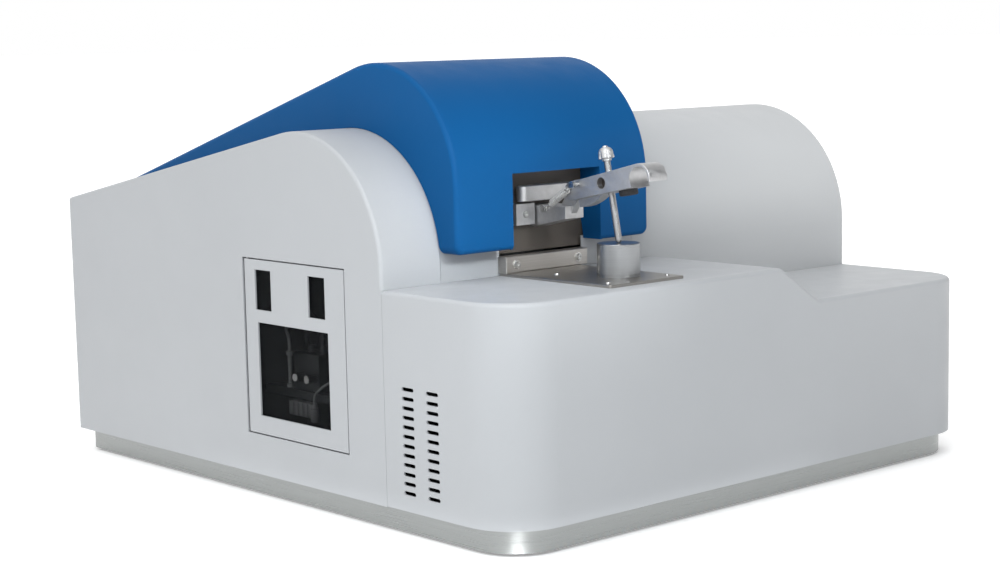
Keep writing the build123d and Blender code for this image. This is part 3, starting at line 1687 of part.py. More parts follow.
board_top = pan_top + board_post_height + board_thickness
with BuildPart() as controller_board:
    with BuildSketch(Plane.XY.offset(board_top)):
        with Locations((units_x, board_y)):
            Rectangle(board_width, board_length)
    extrude(amount=-board_thickness)
    with BuildSketch(Plane.XY.offset(pan_top)):
        with Locations((units_x, board_y)):
            with GridLocations(board_width - 2 * board_inset, board_length - 2 * board_inset, 2, 2):
                Circle(board_post_radius)
    extrude(amount=board_post_height)
    with BuildSketch(Plane.XY.offset(board_top)):
        with Locations((units_x, board_y)):
            with GridLocations(board_width / board_columns, board_length, board_columns - 1, 1):
                Rectangle(chip_size, chip_size)
    extrude(amount=chip_height)
    with BuildSketch(Plane.XY.offset(board_top)):
        with Locations((units_x, board_y + board_length / 2 - connector_width)):
            with GridLocations(board_width / board_columns, board_length, board_columns, 1):
                Rectangle(connector_length, connector_width)
    extrude(amount=connector_height)
controller_board.part.label = "controller_board"
export_step(controller_board.part, "parts/controller_board.step")

# Rear panel, set in from the back edge, and its screws
panel_x0 = left + sheet + rear_panel_gap
panel_x1 = right - sheet - rear_panel_gap
panel_face = rear_panel_y + sheet
fan_x = right - fan_from_right
inlet_x = left + inlet_from_left
rocker_x = left + rocker_from_left
gas_x = left + gas_from_left
port_x = left + port_from_left
panel_screw_places = [
    (side * (width / 2 - sheet - flange_width / 2), z) for side in (-1, 1) for z in panel_screw_heights
]
guard_places = [
    (fan_x + a * fan_hole_spread / 2, fan_height + b * fan_hole_spread / 2)
    for a in (-1, 1)
    for b in (-1, 1)
]
bezel_width = rocker_width + 2 * (rocker_clear + rocker_wall)
bezel_height = rocker_height + 2 * (rocker_clear + rocker_wall)
with BuildPart() as rear_panel:
    add(span(panel_x0, panel_x1, rear_panel_y, panel_face, pan_top, panel_top))
    with BuildSketch(Plane.XZ.offset(-rear_panel_y)):
        with Locations((fan_x, fan_height)):
            Circle(fan_bore_radius)
        with Locations((inlet_x, inlet_centre_height)):
            Rectangle(inlet_width + 2 * fixed_gap, inlet_height + 2 * fixed_gap)
        with Locations((rocker_x, inlet_centre_height)):
            Rectangle(bezel_width + 2 * fixed_gap, bezel_height + 2 * fixed_gap)
        with Locations((gas_x, gas_centre_height)):
            Circle(gas_thread_radius + fixed_gap)
        with Locations((port_x, gas_centre_height)):
            Circle(port_radius + fixed_gap)
        with Locations(*(panel_screw_places + guard_places)):
            Circle(m3_radius + fixed_gap)
    extrude(amount=-sheet, mode=Mode.SUBTRACT)
rear_panel.part.label = "rear_panel"
export_step(rear_panel.part, "parts/rear_panel.step")

panel_seats = [Plane((x, panel_face, z), x_dir=(1, 0, 0), z_dir=(0, 1, 0)) for x, z in panel_screw_places]
panel_screws = screw_group(
    panel_seats, m3_radius, m3_head_radius, m3_head_height, m3_socket_radius, m3_length
)
panel_screws.label = "panel_screws"
export_step(panel_screws, "parts/panel_screws.step")

# Cooling fan behind the rear panel, its rotor, and the guard outside
fan_y0 = rear_panel_y - fan_depth
with BuildPart() as fan_frame:
    with BuildSketch(Plane.XZ.offset(-rear_panel_y)) as fan_square:
        with Locations((fan_x, fan_height)):
            Rectangle(fan_size, fan_size)
        fillet(fan_square.vertices(), fan_corner_radius)
        with Locations((fan_x, fan_height)):
            Circle(fan_bore_radius, mode=Mode.SUBTRACT)
        with Locations(*guard_places):
            Circle(m3_radius + fixed_gap, mode=Mode.SUBTRACT)
    extrude(amount=fan_depth)
    with BuildSketch(Plane.XZ.offset(-fan_y0)):
        with Locations((fan_x, fan_height)):
            Circle(fan_hub_radius)
            with PolarLocations((fan_hub_radius + fan_bore_radius) / 2, 4):
                Rectangle(fan_bore_radius - fan_hub_radius + 2 * fan_blade_gap, fan_strut_width)
    extrude(amount=-fan_strut_depth)
    with BuildSketch(Plane.XZ.offset(-fan_y0)):
        with Locations((fan_x, fan_height)):
            Circle(fan_shaft_radius)
    extrude(amount=-(fan_depth - fan_blade_gap - fan_strut_depth))
fan_frame.part.label = "fan_frame"
export_step(fan_frame.part, "parts/fan_frame.step")

rotor_y0 = fan_y0 + fan_strut_depth + fan_blade_gap
rotor_depth = rear_panel_y - rotor_y0 - fan_blade_gap
blade_reach = fan_bore_radius - fan_blade_gap
with BuildPart() as fan_rotor:
    with BuildSketch(Plane.XZ.offset(-rotor_y0)):
        with Locations((fan_x, fan_height)):
            Circle(fan_hub_radius)
    extrude(amount=-rotor_depth)
    for blade in range(fan_blades):
        turn = Rotation(0, 360 * blade / fan_blades, 0)
        seat = Pos(fan_x, rotor_y0 + rotor_depth / 2, fan_height) * turn * Rotation(0, 0, fan_blade_pitch)
        with BuildSketch(Plane(seat)):
            Rectangle(fan_blade_thickness, rotor_depth * blade_share)
        extrude(amount=blade_reach - fan_blade_thickness)
    with BuildSketch(Plane.XZ.offset(-rotor_y0)):
        with Locations((fan_x, fan_height)):
            Circle(fan_shaft_radius + running_gap)
    extrude(amount=-(fan_depth - fan_blade_gap - fan_strut_depth), mode=Mode.SUBTRACT)
fan_rotor.part.label = "fan_rotor"
export_step(fan_rotor.part, "parts/fan_rotor.step")

with BuildPart() as fan_guard:
    with BuildSketch(Plane.XZ.offset(-panel_face)):
        with Locations((fan_x, fan_height)):
            for share in guard_ring_shares:
                Circle(fan_bore_radius * share)
                Circle(fan_bore_radius * share - guard_wire, mode=Mode.SUBTRACT)
            with PolarLocations(fan_bore_radius * guard_spoke_share, 4, start_angle=45):
                Rectangle(fan_bore_radius * guard_spoke_length_share, guard_wire)
            Circle(fan_bore_radius * guard_ring_shares[-1])
        with Locations(*guard_places):
            Circle(guard_tab_radius)
            Circle(m3_radius + fixed_gap, mode=Mode.SUBTRACT)
    extrude(amount=-guard_wire)
fan_guard.part.label = "fan_guard"
export_step(fan_guard.part, "parts/fan_guard.step")

# Mains inlet, power switch, gas inlet and exhaust port
with BuildPart() as mains_inlet:
    with BuildSketch(Plane.XZ.offset(-panel_face)) as inlet_flange:
        with Locations((inlet_x, inlet_centre_height)):
            Rectangle(inlet_flange_width, inlet_flange_height)
        fillet(inlet_flange.vertices(), plate_corner_radius)
    extrude(amount=-inlet_flange_thickness)
    with BuildSketch(Plane.XZ.offset(-panel_face)):
        with Locations((inlet_x, inlet_centre_height)):
            Rectangle(inlet_width, inlet_height)
    extrude(amount=inlet_body_depth)
    with BuildSketch(Plane.XZ.offset(-(panel_face + inlet_flange_thickness))):
        with Locations((inlet_x, inlet_centre_height)):
            Rectangle(inlet_width - 2 * inlet_socket_wall, inlet_height - 2 * inlet_socket_wall)
    extrude(amount=inlet_socket_depth, mode=Mode.SUBTRACT)
    with BuildSketch(Plane.XZ.offset(-(panel_face + inlet_flange_thickness - inlet_socket_depth))):
        with Locations((inlet_x, inlet_centre_height)):
            with GridLocations(2 * inlet_pin_pitch, 1, 2, 1):
                Rectangle(inlet_pin_width, inlet_pin_height)
        with Locations((inlet_x, inlet_centre_height + inlet_pin_rise)):
            Rectangle(inlet_pin_width, inlet_pin_height)
    extrude(amount=-(inlet_socket_depth - inlet_flange_thickness))
mains_inlet.part.label = "mains_inlet"
export_step(mains_inlet.part, "parts/mains_inlet.step")

rocker_y = panel_face + rocker_stand
with BuildPart() as switch_bezel:
    with BuildSketch(Plane.XZ.offset(-panel_face)):
        with Locations((rocker_x, inlet_centre_height)):
            Rectangle(bezel_width, bezel_height)
    extrude(amount=rocker_body_depth)
    with BuildSketch(Plane.XZ.offset(-panel_face)):
        with Locations((rocker_x, inlet_centre_height)):
            Rectangle(bezel_width + 2 * rocker_wall, bezel_height + 2 * rocker_wall)
    extrude(amount=-rocker_bezel_proud)
    with BuildSketch(Plane.XZ.offset(-(panel_face + rocker_bezel_proud))):
        with Locations((rocker_x, inlet_centre_height)):
            Rectangle(rocker_width + 2 * rocker_clear, rocker_height + 2 * rocker_clear)
    extrude(amount=rocker_body_depth, mode=Mode.SUBTRACT)
    with BuildSketch(Plane.YZ.offset(rocker_x - bezel_width / 2)):
        with Locations((rocker_y, inlet_centre_height)):
            Circle(rocker_pin_radius + running_gap)
    extrude(amount=bezel_width, mode=Mode.SUBTRACT)
switch_bezel.part.label = "switch_bezel"
export_step(switch_bezel.part, "parts/switch_bezel.step")

rocker_lean = radians(rocker_tilt)
rocker_side = (rocker_x - rocker_width / 2, rocker_y, inlet_centre_height)
rocker_plane = Plane(rocker_side, x_dir=(0, 1, 0), z_dir=(1, 0, 0))
pressed_plane = Plane(rocker_side, x_dir=(0, cos(rocker_lean), -sin(rocker_lean)), z_dir=(1, 0, 0))
with BuildPart() as power_rocker:
    with BuildSketch(pressed_plane):
        with BuildLine():
            Polyline(
                (-rocker_thickness / 2, -rocker_height / 2),
                (rocker_thickness / 2, -rocker_height / 2),
                (rocker_waist, 0),
                (rocker_thickness / 2, rocker_height / 2),
                (-rocker_thickness / 2, rocker_height / 2),
                close=True,
            )
        make_face()
    extrude(amount=rocker_width)
    with BuildSketch(rocker_plane.offset(rest_gap - rocker_clear - rocker_wall)):
        Circle(rocker_pin_radius)
    extrude(amount=bezel_width - 2 * rest_gap)
power_rocker.part.label = "power_rocker"
export_step(power_rocker.part, "parts/power_rocker.step")

with BuildPart() as gas_inlet:
    with BuildSketch(Plane.XZ.offset(-panel_face)):
        with Locations((gas_x, gas_centre_height)):
            RegularPolygon(gas_nut_radius, 6)
    extrude(amount=-gas_nut_thickness)
    with BuildSketch(Plane.XZ.offset(-(panel_face + gas_nut_thickness))):
        with Locations((gas_x, gas_centre_height)):
            Circle(gas_tube_radius)
    extrude(amount=-gas_tube_length)
    with BuildSketch(Plane.XZ.offset(-panel_face)):
        with Locations((gas_x, gas_centre_height)):
            Circle(gas_thread_radius)
    extrude(amount=gas_thread_length)
    with BuildSketch(Plane.XZ.offset(-(panel_face - gas_thread_length))):
        with Locations((gas_x, gas_centre_height)):
            Circle(gas_bore_radius)
    extrude(amount=-(gas_thread_length + gas_nut_thickness + gas_tube_length), mode=Mode.SUBTRACT)
gas_inlet.part.label = "gas_inlet"
export_step(gas_inlet.part, "parts/gas_inlet.step")

with BuildPart() as exhaust_port:
    with BuildSketch(Plane.XZ.offset(-panel_face)):
        with Locations((port_x, gas_centre_height)):
            Circle(port_flange_radius)
    extrude(amount=-sheet)
    with BuildSketch(Plane.XZ.offset(-(panel_face - port_tail))):
        with Locations((port_x, gas_centre_height)):
            Circle(port_radius)
    extrude(amount=-(port_tail + port_length))
    with BuildSketch(Plane.XZ.offset(-(panel_face - port_tail))):
        with Locations((port_x, gas_centre_height)):
            Circle(port_radius - port_wall)
    extrude(amount=-(port_tail + port_length), mode=Mode.SUBTRACT)
exhaust_port.part.label = "exhaust_port"
export_step(exhaust_port.part, "parts/exhaust_port.step")
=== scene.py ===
import json
import math

import bpy
from mathutils import Matrix, Vector


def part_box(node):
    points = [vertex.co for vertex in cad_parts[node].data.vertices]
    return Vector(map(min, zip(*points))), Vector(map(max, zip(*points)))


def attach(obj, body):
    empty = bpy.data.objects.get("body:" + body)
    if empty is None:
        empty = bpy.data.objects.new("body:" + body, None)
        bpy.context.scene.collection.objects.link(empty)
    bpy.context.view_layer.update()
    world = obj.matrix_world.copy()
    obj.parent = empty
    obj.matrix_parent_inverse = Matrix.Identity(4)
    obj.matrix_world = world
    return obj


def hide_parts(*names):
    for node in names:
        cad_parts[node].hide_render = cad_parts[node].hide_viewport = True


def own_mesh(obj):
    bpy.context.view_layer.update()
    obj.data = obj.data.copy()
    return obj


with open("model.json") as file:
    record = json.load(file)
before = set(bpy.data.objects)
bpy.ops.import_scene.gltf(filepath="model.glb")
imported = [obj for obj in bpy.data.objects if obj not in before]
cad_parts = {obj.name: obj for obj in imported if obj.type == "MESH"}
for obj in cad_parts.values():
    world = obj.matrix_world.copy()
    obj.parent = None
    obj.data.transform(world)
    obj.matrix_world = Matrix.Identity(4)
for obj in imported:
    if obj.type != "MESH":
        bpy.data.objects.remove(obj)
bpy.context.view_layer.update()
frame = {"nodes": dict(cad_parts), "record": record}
scene = bpy.context.scene

# Camera at the photograph's viewing angle, solved on its straight edges
AZIMUTH, ELEVATION, ROLL = math.radians(-41.599), math.radians(7.460), math.radians(-1.198)
CAMERA_PLACE = Vector((-1.6381, -1.8220, 0.5164))
SENSOR_WIDTH, LENS, CLIP_START = 36.0, 72.11, 0.01

level = math.cos(ELEVATION)
back = Vector((math.sin(AZIMUTH) * level, -math.cos(AZIMUTH) * level, math.sin(ELEVATION)))
right = Vector((math.cos(AZIMUTH), math.sin(AZIMUTH), 0))
up = back.cross(right)
right_rolled = right * math.cos(ROLL) + up * math.sin(ROLL)
up_rolled = up * math.cos(ROLL) - right * math.sin(ROLL)
camera_data = bpy.data.cameras.new("camera")
camera_data.sensor_width = SENSOR_WIDTH
camera_data.lens = LENS
camera_data.clip_start = CLIP_START
camera = bpy.data.objects.new("camera", camera_data)
scene.collection.objects.link(camera)
turned_to_photo = Matrix((right_rolled, up_rolled, back)).transposed().to_4x4()
camera.matrix_world = Matrix.Translation(CAMERA_PLACE) @ turned_to_photo
scene.camera = camera
scene.view_settings.view_transform = "Standard"

# Materials
NOISE_LOW, NOISE_HIGH = 0.3, 0.7  # most values of a noise texture lie between these
STREAK_ACROSS, STREAK_ALONG = 900.0, 8.0  # noise scales of brushed metal


def shade(colour, factor):
    return tuple(min(1.0, c * factor) for c in colour)


class Shader:
    """A material with a Principled shader and short calls that add nodes in front of it."""

    def __init__(self, name, colour, roughness, metallic=0.0):
        self.material = bpy.data.materials.new(name)
        self.material.use_nodes = True
        tree = self.material.node_tree
        self.nodes, self.links = tree.nodes, tree.links
        self.bsdf = self.nodes["Principled BSDF"]
        self.colour = colour
        self.bsdf.inputs["Base Color"].default_value = (*colour, 1)
        self.bsdf.inputs["Roughness"].default_value = roughness
        self.bsdf.inputs["Metallic"].default_value = metallic
        self.place = self.nodes.new("ShaderNodeTexCoord").outputs["Object"]
        self.normal = None

    def stretched(self, scale):
        mapping = self.nodes.new("ShaderNodeMapping")
        mapping.inputs["Scale"].default_value = scale
        self.links.new(self.place, mapping.inputs["Vector"])
        return mapping.outputs["Vector"]

    def noise(self, scale, detail=2.0, roughness=0.5, vector=None):
        node = self.nodes.new("ShaderNodeTexNoise")
        node.inputs["Scale"].default_value = scale
        node.inputs["Detail"].default_value = detail
        node.inputs["Roughness"].default_value = roughness
        self.links.new(vector or self.place, node.inputs["Vector"])
        return node.outputs["Fac"]

    def cells(self, scale):
        node = self.nodes.new("ShaderNodeTexVoronoi")
        node.inputs["Scale"].default_value = scale
        self.links.new(self.place, node.inputs["Vector"])
        return node.outputs["Distance"]

    def tone(self, value, first, last, start=NOISE_LOW, end=NOISE_HIGH):
        """The colour times first where the value is at start, and times last at end."""
        node = self.nodes.new("ShaderNodeValToRGB")
        for k, (position, factor) in enumerate(((start, first), (end, last))):
            node.color_ramp.elements[k].position = position
            node.color_ramp.elements[k].color = (*shade(self.colour, factor), 1)
        self.links.new(value, node.inputs["Fac"])
        self.links.new(node.outputs["Color"], self.bsdf.inputs["Base Color"])

    def gloss(self, value, low, high):
        """Roughness that follows the value from low to high."""
        node = self.nodes.new("ShaderNodeMapRange")
        node.inputs["From Min"].default_value = NOISE_LOW
        node.inputs["From Max"].default_value = NOISE_HIGH
        node.inputs["To Min"].default_value = low
        node.inputs["To Max"].default_value = high
        self.links.new(value, node.inputs["Value"])
        self.links.new(node.outputs["Result"], self.bsdf.inputs["Roughness"])

    def dull(self, shine):
        """How much the surface mirrors, from 0 to 1."""
        self.bsdf.inputs["Specular IOR Level"].default_value = shine
        return self

    def bump(self, height, strength, distance):
        node = self.nodes.new("ShaderNodeBump")
        node.inputs["Strength"].default_value = strength
        node.inputs["Distance"].default_value = distance
        self.links.new(height, node.inputs["Height"])
        if self.normal:
            self.links.new(self.normal, node.inputs["Normal"])
        self.normal = node.outputs["Normal"]
        self.links.new(self.normal, self.bsdf.inputs["Normal"])


def powder_coat(name, colour, grain=1500.0, depth=0.00012, roughness=0.42, shine=0.3):
    """Fine orange-peel powder coat with a faint unevenness of tone and gloss."""
    s = Shader(name, colour, roughness).dull(shine)
    s.tone(s.noise(4.0, detail=3.0), first=0.975, last=1.015)
    s.gloss(s.noise(30.0, detail=4.0), low=roughness - 0.05, high=roughness + 0.06)
    s.bump(s.noise(grain, roughness=0.6), strength=0.35, distance=depth)
    s.bump(s.noise(grain / 5), strength=0.12, distance=depth * 2)
    return s.material


def brushed(name, colour, along, roughness, depth=0.00004, contrast=1.0):
    """Metal brushed along one or two axes: fine streaks in tone, gloss and height."""
    s = Shader(name, colour, roughness, metallic=1.0)
    scale = [STREAK_ALONG if axis in along else STREAK_ACROSS for axis in range(3)]
    lines = s.noise(1.0, detail=3.0, roughness=0.7, vector=s.stretched(scale))
    s.tone(lines, first=1 - 0.14 * contrast, last=1 + 0.1 * contrast, start=0.25, end=0.75)
    s.gloss(lines, low=roughness - 0.07, high=roughness + 0.1)
    s.bump(lines, strength=0.5, distance=depth)
    return s.material


def blasted(name, colour, roughness, grain=2600.0):
    """Bead-blasted aluminium with small handling marks."""
    s = Shader(name, colour, roughness, metallic=1.0)
    s.tone(s.noise(60.0, detail=4.0, roughness=0.6), first=0.9, last=1.06)
    s.gloss(s.noise(220.0, detail=3.0), low=roughness - 0.08, high=roughness + 0.1)
    s.bump(s.noise(grain, roughness=0.7), strength=0.35, distance=0.00006)
    return s.material


def turned(name, colour, roughness=0.28):
    """Turned steel: fine rings read as short streaks, with a little smudging."""
    s = Shader(name, colour, roughness, metallic=1.0)
    fine = s.noise(1400.0)
    s.tone(s.noise(150.0, detail=3.0), first=0.85, last=1.08)
    s.gloss(fine, low=roughness - 0.06, high=roughness + 0.1)
    s.bump(fine, strength=0.3, distance=0.00003)
    return s.material


def moulded(name, colour, roughness):
    """Moulded plastic or rubber with a fine grain."""
    s = Shader(name, colour, roughness)
    s.tone(s.noise(40.0, detail=3.0), first=0.85, last=1.2)
    s.gloss(s.noise(300.0, detail=3.0), low=roughness - 0.08, high=roughness + 0.1)
    s.bump(s.cells(2200.0), strength=0.3, distance=0.00008)
    return s.material


def smoked_glass(name, colour):
    """Dark acrylic pane, slightly dusty."""
    s = Shader(name, colour, roughness=0.08).dull(0.05)
    s.bsdf.inputs["Alpha"].default_value = 0.36
    s.tone(s.noise(25.0, detail=4.0), first=0.8, last=1.5, end=0.75)
    s.gloss(s.noise(40.0), low=0.06, high=0.14)
    s.bump(s.noise(15.0, detail=1.0), strength=0.05, distance=0.0003)
    return s.material


def board(name, colour):
    """Circuit board with faint tracks."""
    s = Shader(name, colour, roughness=0.35)
    tracks = s.cells(160.0)
    s.tone(tracks, first=1.6, last=1.0, start=0.1, end=0.4)
    s.bump(tracks, strength=0.2, distance=0.0001)
    s.gloss(s.noise(90.0), low=0.3, high=0.45)
    return s.material


X, Y, Z = range(3)
looks = {
    "casing_paint": powder_coat("grey_paint", (0.398, 0.412, 0.428)),
    "hood_paint": powder_coat(
        "blue_paint",
        (0.0051, 0.081, 0.240),
        grain=1300.0,
        depth=0.00014,
        roughness=0.45,
        shine=0.06,
    ),
    "plinth_steel": brushed("plinth_metal", (0.31, 0.32, 0.315), (X, Y), 0.30, contrast=0.6),
    "sheet_steel": brushed("sheet_metal", (0.50, 0.51, 0.52), (Z,), 0.42),
    "dark_paint": powder_coat("dark_paint", (0.085, 0.074, 0.064), depth=0.0001, roughness=0.5),
    "plate_steel": brushed("plate_metal", (0.36, 0.345, 0.325), (X,), 0.36),
    "screw_steel": turned("screw_metal", (0.56, 0.56, 0.55)),
    "clamp_aluminium": blasted("clamp_metal", (0.53, 0.53, 0.535), 0.5),
    "sample_steel": brushed(
        "sample_metal", (0.34, 0.35, 0.36), (X, Y), 0.33, depth=0.00003, contrast=0.6
    ),
    "black_rubber": moulded("rubber", (0.018, 0.018, 0.02), 0.7),
    "window_glass": smoked_glass("smoked_pane", (0.004, 0.005, 0.006)),
    "chamber_brass": turned("brass_metal", (0.55, 0.38, 0.14), 0.3),
    "insulator_ceramic": moulded("ceramic_white", (0.78, 0.75, 0.68), 0.35),
    "tungsten": turned("tungsten_metal", (0.18, 0.18, 0.19), 0.35),
    "cast_aluminium": blasted("cast_metal", (0.45, 0.46, 0.48), 0.5, grain=1800.0),
    "grating_mirror": brushed("grating_face", (0.75, 0.77, 0.80), (Z,), 0.08, depth=0.00001),
    "board_green": board("board_coat", (0.015, 0.11, 0.05)),
    "black_plastic": moulded("black_plastic", (0.02, 0.02, 0.022), 0.45),
}
# Near-black brownish steel on the press rod's barrel: painted shade for the dark inside of its
# hole
barrel_shade_dark = turned("barrel_painted_shade", (0.07, 0.06, 0.055), 0.45)
anodised = blasted("anodised_dark", (0.10, 0.105, 0.11), 0.45)
# Near-black paint in the compartment behind the window: painted shade of its dim inside
bay_shade_black = powder_coat("bay_painted_shade", (0.016, 0.016, 0.018), depth=0.0001, roughness=0.6)
node_looks = {
    "bracket_bar": brushed("bar_metal", (0.52, 0.50, 0.475), (X,), 0.42),
    "press_rod": turned("rod_metal", (0.40, 0.40, 0.405), 0.3),
    "rod_barrel": barrel_shade_dark,
    "bar_washers": turned("washer_metal", (0.75, 0.74, 0.72), 0.25),
    "service_bay": bay_shade_black,
    "bay_rail": anodised,
    "gas_manifold": anodised,
    "solenoid_valve": anodised,
}
slot_of = {entry["node"]: entry["material_slot"] for entry in frame["record"]["subparts"]}
for name, obj in frame["nodes"].items():
    obj.data.materials.clear()
    obj.data.materials.append(node_looks.get(name, looks[slot_of[name]]))

# White floor that runs out to the horizon
FLOOR_REACH, FLOOR_DROP, FLOOR_GLOW = 60, 0.0005, 0.24

floor_corners = [(-1, -1), (1, -1), (1, 1), (-1, 1)]
floor_mesh = bpy.data.meshes.new("floor")
floor_mesh.from_pydata(
    [(x * FLOOR_REACH, y * FLOOR_REACH, 0) for x, y in floor_corners], [], [(0, 1, 2, 3)]
)
floor = bpy.data.objects.new("floor", floor_mesh)
scene.collection.objects.link(floor)
floor_shader = Shader("floor_white", (0.95, 0.95, 0.95), roughness=0.8).dull(0.0)
floor_shader.gloss(floor_shader.noise(3.0), low=0.7, high=0.9)
floor_shader.bsdf.inputs["Emission Color"].default_value = (1.0, 1.0, 1.0, 1)
floor_shader.bsdf.inputs["Emission Strength"].default_value = FLOOR_GLOW
floor.data.materials.append(floor_shader.material)
floor.location.z = -FLOOR_DROP

# White studio all round, darker high up at the front right
DARK_SIDE = (0.45, -0.88, 0.15)
DARK_START, DARK_FULL = -0.03, 0.85  # how much a direction points to the dark side
WHITE_BELOW, DARK_ABOVE = 0.12, 0.26  # heights of a direction: the horizon stays white
SKY_WHITE, SKY_GREY, SKY_DARK = (1.0, 1.0, 1.0, 1), (0.45, 0.45, 0.45, 1), (0.05, 0.05, 0.055, 1)
GREY_AT = 0.35

world = bpy.data.worlds.new("studio")
world.use_nodes = True
nodes, links = world.node_tree.nodes, world.node_tree.links


def mapped(value, start, end):
    """The value mapped from start and end to 0 and 1, and held there outside them."""
    node = nodes.new("ShaderNodeMapRange")
    node.inputs["From Min"].default_value = start
    node.inputs["From Max"].default_value = end
    links.new(value, node.inputs["Value"])
    return node.outputs["Result"]


direction = nodes.new("ShaderNodeTexCoord").outputs["Generated"]
facing = nodes.new("ShaderNodeVectorMath")
facing.operation = "DOT_PRODUCT"
facing.inputs[1].default_value = DARK_SIDE
links.new(direction, facing.inputs[0])
parts = nodes.new("ShaderNodeSeparateXYZ")
links.new(direction, parts.inputs["Vector"])
patch = nodes.new("ShaderNodeMath")
patch.operation = "MULTIPLY"
links.new(mapped(facing.outputs["Value"], DARK_START, DARK_FULL), patch.inputs[0])
links.new(mapped(parts.outputs["Z"], WHITE_BELOW, DARK_ABOVE), patch.inputs[1])
falloff = nodes.new("ShaderNodeValToRGB")
falloff.color_ramp.elements[0].color = SKY_WHITE
falloff.color_ramp.elements[1].color = SKY_DARK
falloff.color_ramp.elements.new(GREY_AT).color = SKY_GREY
links.new(patch.outputs["Value"], falloff.inputs["Fac"])
links.new(falloff.outputs["Color"], nodes["Background"].inputs["Color"])
nodes["Background"].inputs["Strength"].default_value = 1.0
scene.world = world


def soft_light(name, place, target, size, power, colour, cone=180):
    """A rectangular lamp at a place, turned to a target; the cone is in degrees."""
    data = bpy.data.lights.new(name, "AREA")
    data.spread = math.radians(cone)
    data.shape = "RECTANGLE"
    data.size, data.size_y = size
    data.energy = power
    data.color = colour
    light = bpy.data.objects.new(name, data)
    scene.collection.objects.link(light)
    light.location = place
    light.rotation_euler = (Vector(target) - Vector(place)).to_track_quat("-Z", "Y").to_euler()


soft_light(
    "corner_light",
    place=(-0.95, -1.05, 1.00),
    target=(-0.25, -0.32, 0.25),
    size=(0.8, 0.6),
    power=7.2,
    colour=(0.92, 0.97, 1.0),
)
soft_light(
    "table_light",
    place=(-0.24, -1.05, 0.72),
    target=(-0.28, -0.19, 0.27),
    size=(0.25, 0.2),
    power=0.12,
    colour=(0.95, 0.98, 1.0),
    cone=17,
)
soft_light(
    "roof_light",
    place=(0.75, -1.15, 0.85),
    target=(0.22, -0.02, 0.40),
    size=(0.3, 0.3),
    power=0.42,
    colour=(1.0, 0.98, 0.93),
    cone=36,
)
soft_light(
    "strip_light",
    place=(-0.98, -1.10, 0.02),
    target=(-0.35, -0.38, -0.065),
    size=(0.7, 0.02),
    power=0.65,
    colour=(0.97, 0.98, 1.0),
    cone=13,
)

SUN_POWER, SUN_ANGLE, SUN_HEADING = 1.3, math.radians(60), Vector((0.10, 0.25, -1.0))

sun_data = bpy.data.lights.new("overhead", "SUN")
sun_data.energy = SUN_POWER
sun_data.angle = SUN_ANGLE
sun = bpy.data.objects.new("overhead", sun_data)
scene.collection.objects.link(sun)
sun.rotation_euler = SUN_HEADING.to_track_quat("-Z", "Y").to_euler()

# Small pieces built as meshes; sizes are in millimetres, and places in metres
LEFT, FRONT = -0.375, -0.41
MM = 1000
SHARP_EDGE = math.radians(40)
TURNED_SIDES, HOSE_SIDES, WIRE_SIDES = 32, 12, 10
HOSE_STEPS = 10  # steps of the path round each corner


def at(x, y, z):
    """A point given in millimetres from the left face, the front face and the bench."""
    return Vector((LEFT + x / MM, FRONT + y / MM, z / MM))


def make_piece(name, verts, faces, material, body, smooth=True):
    mesh = bpy.data.meshes.new(name)
    mesh.from_pydata([tuple(v) for v in verts], [], faces)
    mesh.validate()
    mesh.update()
    for polygon in mesh.polygons:
        polygon.use_smooth = smooth
    mesh.materials.append(material)
    piece = bpy.data.objects.new(name, mesh)
    scene.collection.objects.link(piece)
    if smooth:
        edges = piece.modifiers.new("edges", "EDGE_SPLIT")
        edges.split_angle = SHARP_EDGE
    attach(piece, body)
    return piece


def skin(rows, sides):
    """Faces that join rows of ring points and close both ends."""
    faces = []
    for row in range(rows - 1):
        for k in range(sides):
            a, b = row * sides + k, row * sides + (k + 1) % sides
            faces.append((a, b, b + sides, a + sides))
    faces.append(tuple(range(sides))[::-1])
    faces.append(tuple(range((rows - 1) * sides, rows * sides)))
    return faces


def ring(one, two, sides):
    """Directions all round, in the plane of two unit vectors."""
    turns = [2 * math.pi * k / sides for k in range(sides)]
    return [one * math.cos(turn) + two * math.sin(turn) for turn in turns]


def turned_piece(name, centre, axis, profile, material, body):
    """A turned piece: profile points are (distance along the axis, radius)."""
    axis = Vector(axis).normalized()
    one = axis.orthogonal().normalized()
    out = ring(one, axis.cross(one), TURNED_SIDES)
    verts = []
    for along, radius in profile:
        verts += [centre + axis * along / MM + way * radius / MM for way in out]
    make_piece(name, verts, skin(len(profile), TURNED_SIDES), material, body)


def tube(name, path, radius, material, body, sides):
    """A round tube along a path of points."""
    verts = []
    one = (path[1] - path[0]).orthogonal().normalized()
    for k, place in enumerate(path):
        heading = (path[min(k + 1, len(path) - 1)] - path[max(k - 1, 0)]).normalized()
        one = (one - heading * one.dot(heading)).normalized()
        for way in ring(one, heading.cross(one), sides):
            verts.append(place + way * radius / MM)
    return make_piece(name, verts, skin(len(path), sides), material, body)


def hose(name, corners, radius, material, body):
    """A round hose through rounded corner points."""
    corners = [at(*corner) for corner in corners]
    path = [corners[0]]
    for before, corner, after in zip(corners, corners[1:], corners[2:]):
        start, end = before.lerp(corner, 0.5), corner.lerp(after, 0.5)
        for k in range(HOSE_STEPS + 1):
            t = k / HOSE_STEPS
            path.append(start.lerp(corner, t).lerp(corner.lerp(end, t), t))
    path.append(corners[-1])
    tube(name, path, radius, material, body, HOSE_SIDES)


def recessed_block(name, low, high, edge, material, body):
    """A block with chamfered edges and a shallow sunk panel on its left side."""
    (x0, y0, z0), (x1, y1, z1) = low, high
    border = edge * 2.5
    rings = [(x0 + edge, border), (x0, border), (x0, edge), (x0 + edge, 0), (x1, 0)]
    verts = []
    for x, inset in rings:
        near, far, below, above = y0 + inset, y1 - inset, z0 + inset, z1 - inset
        verts += [at(x, near, below), at(x, far, below), at(x, far, above), at(x, near, above)]
    make_piece(name, verts, skin(len(rings), 4), material, body, smooth=False)
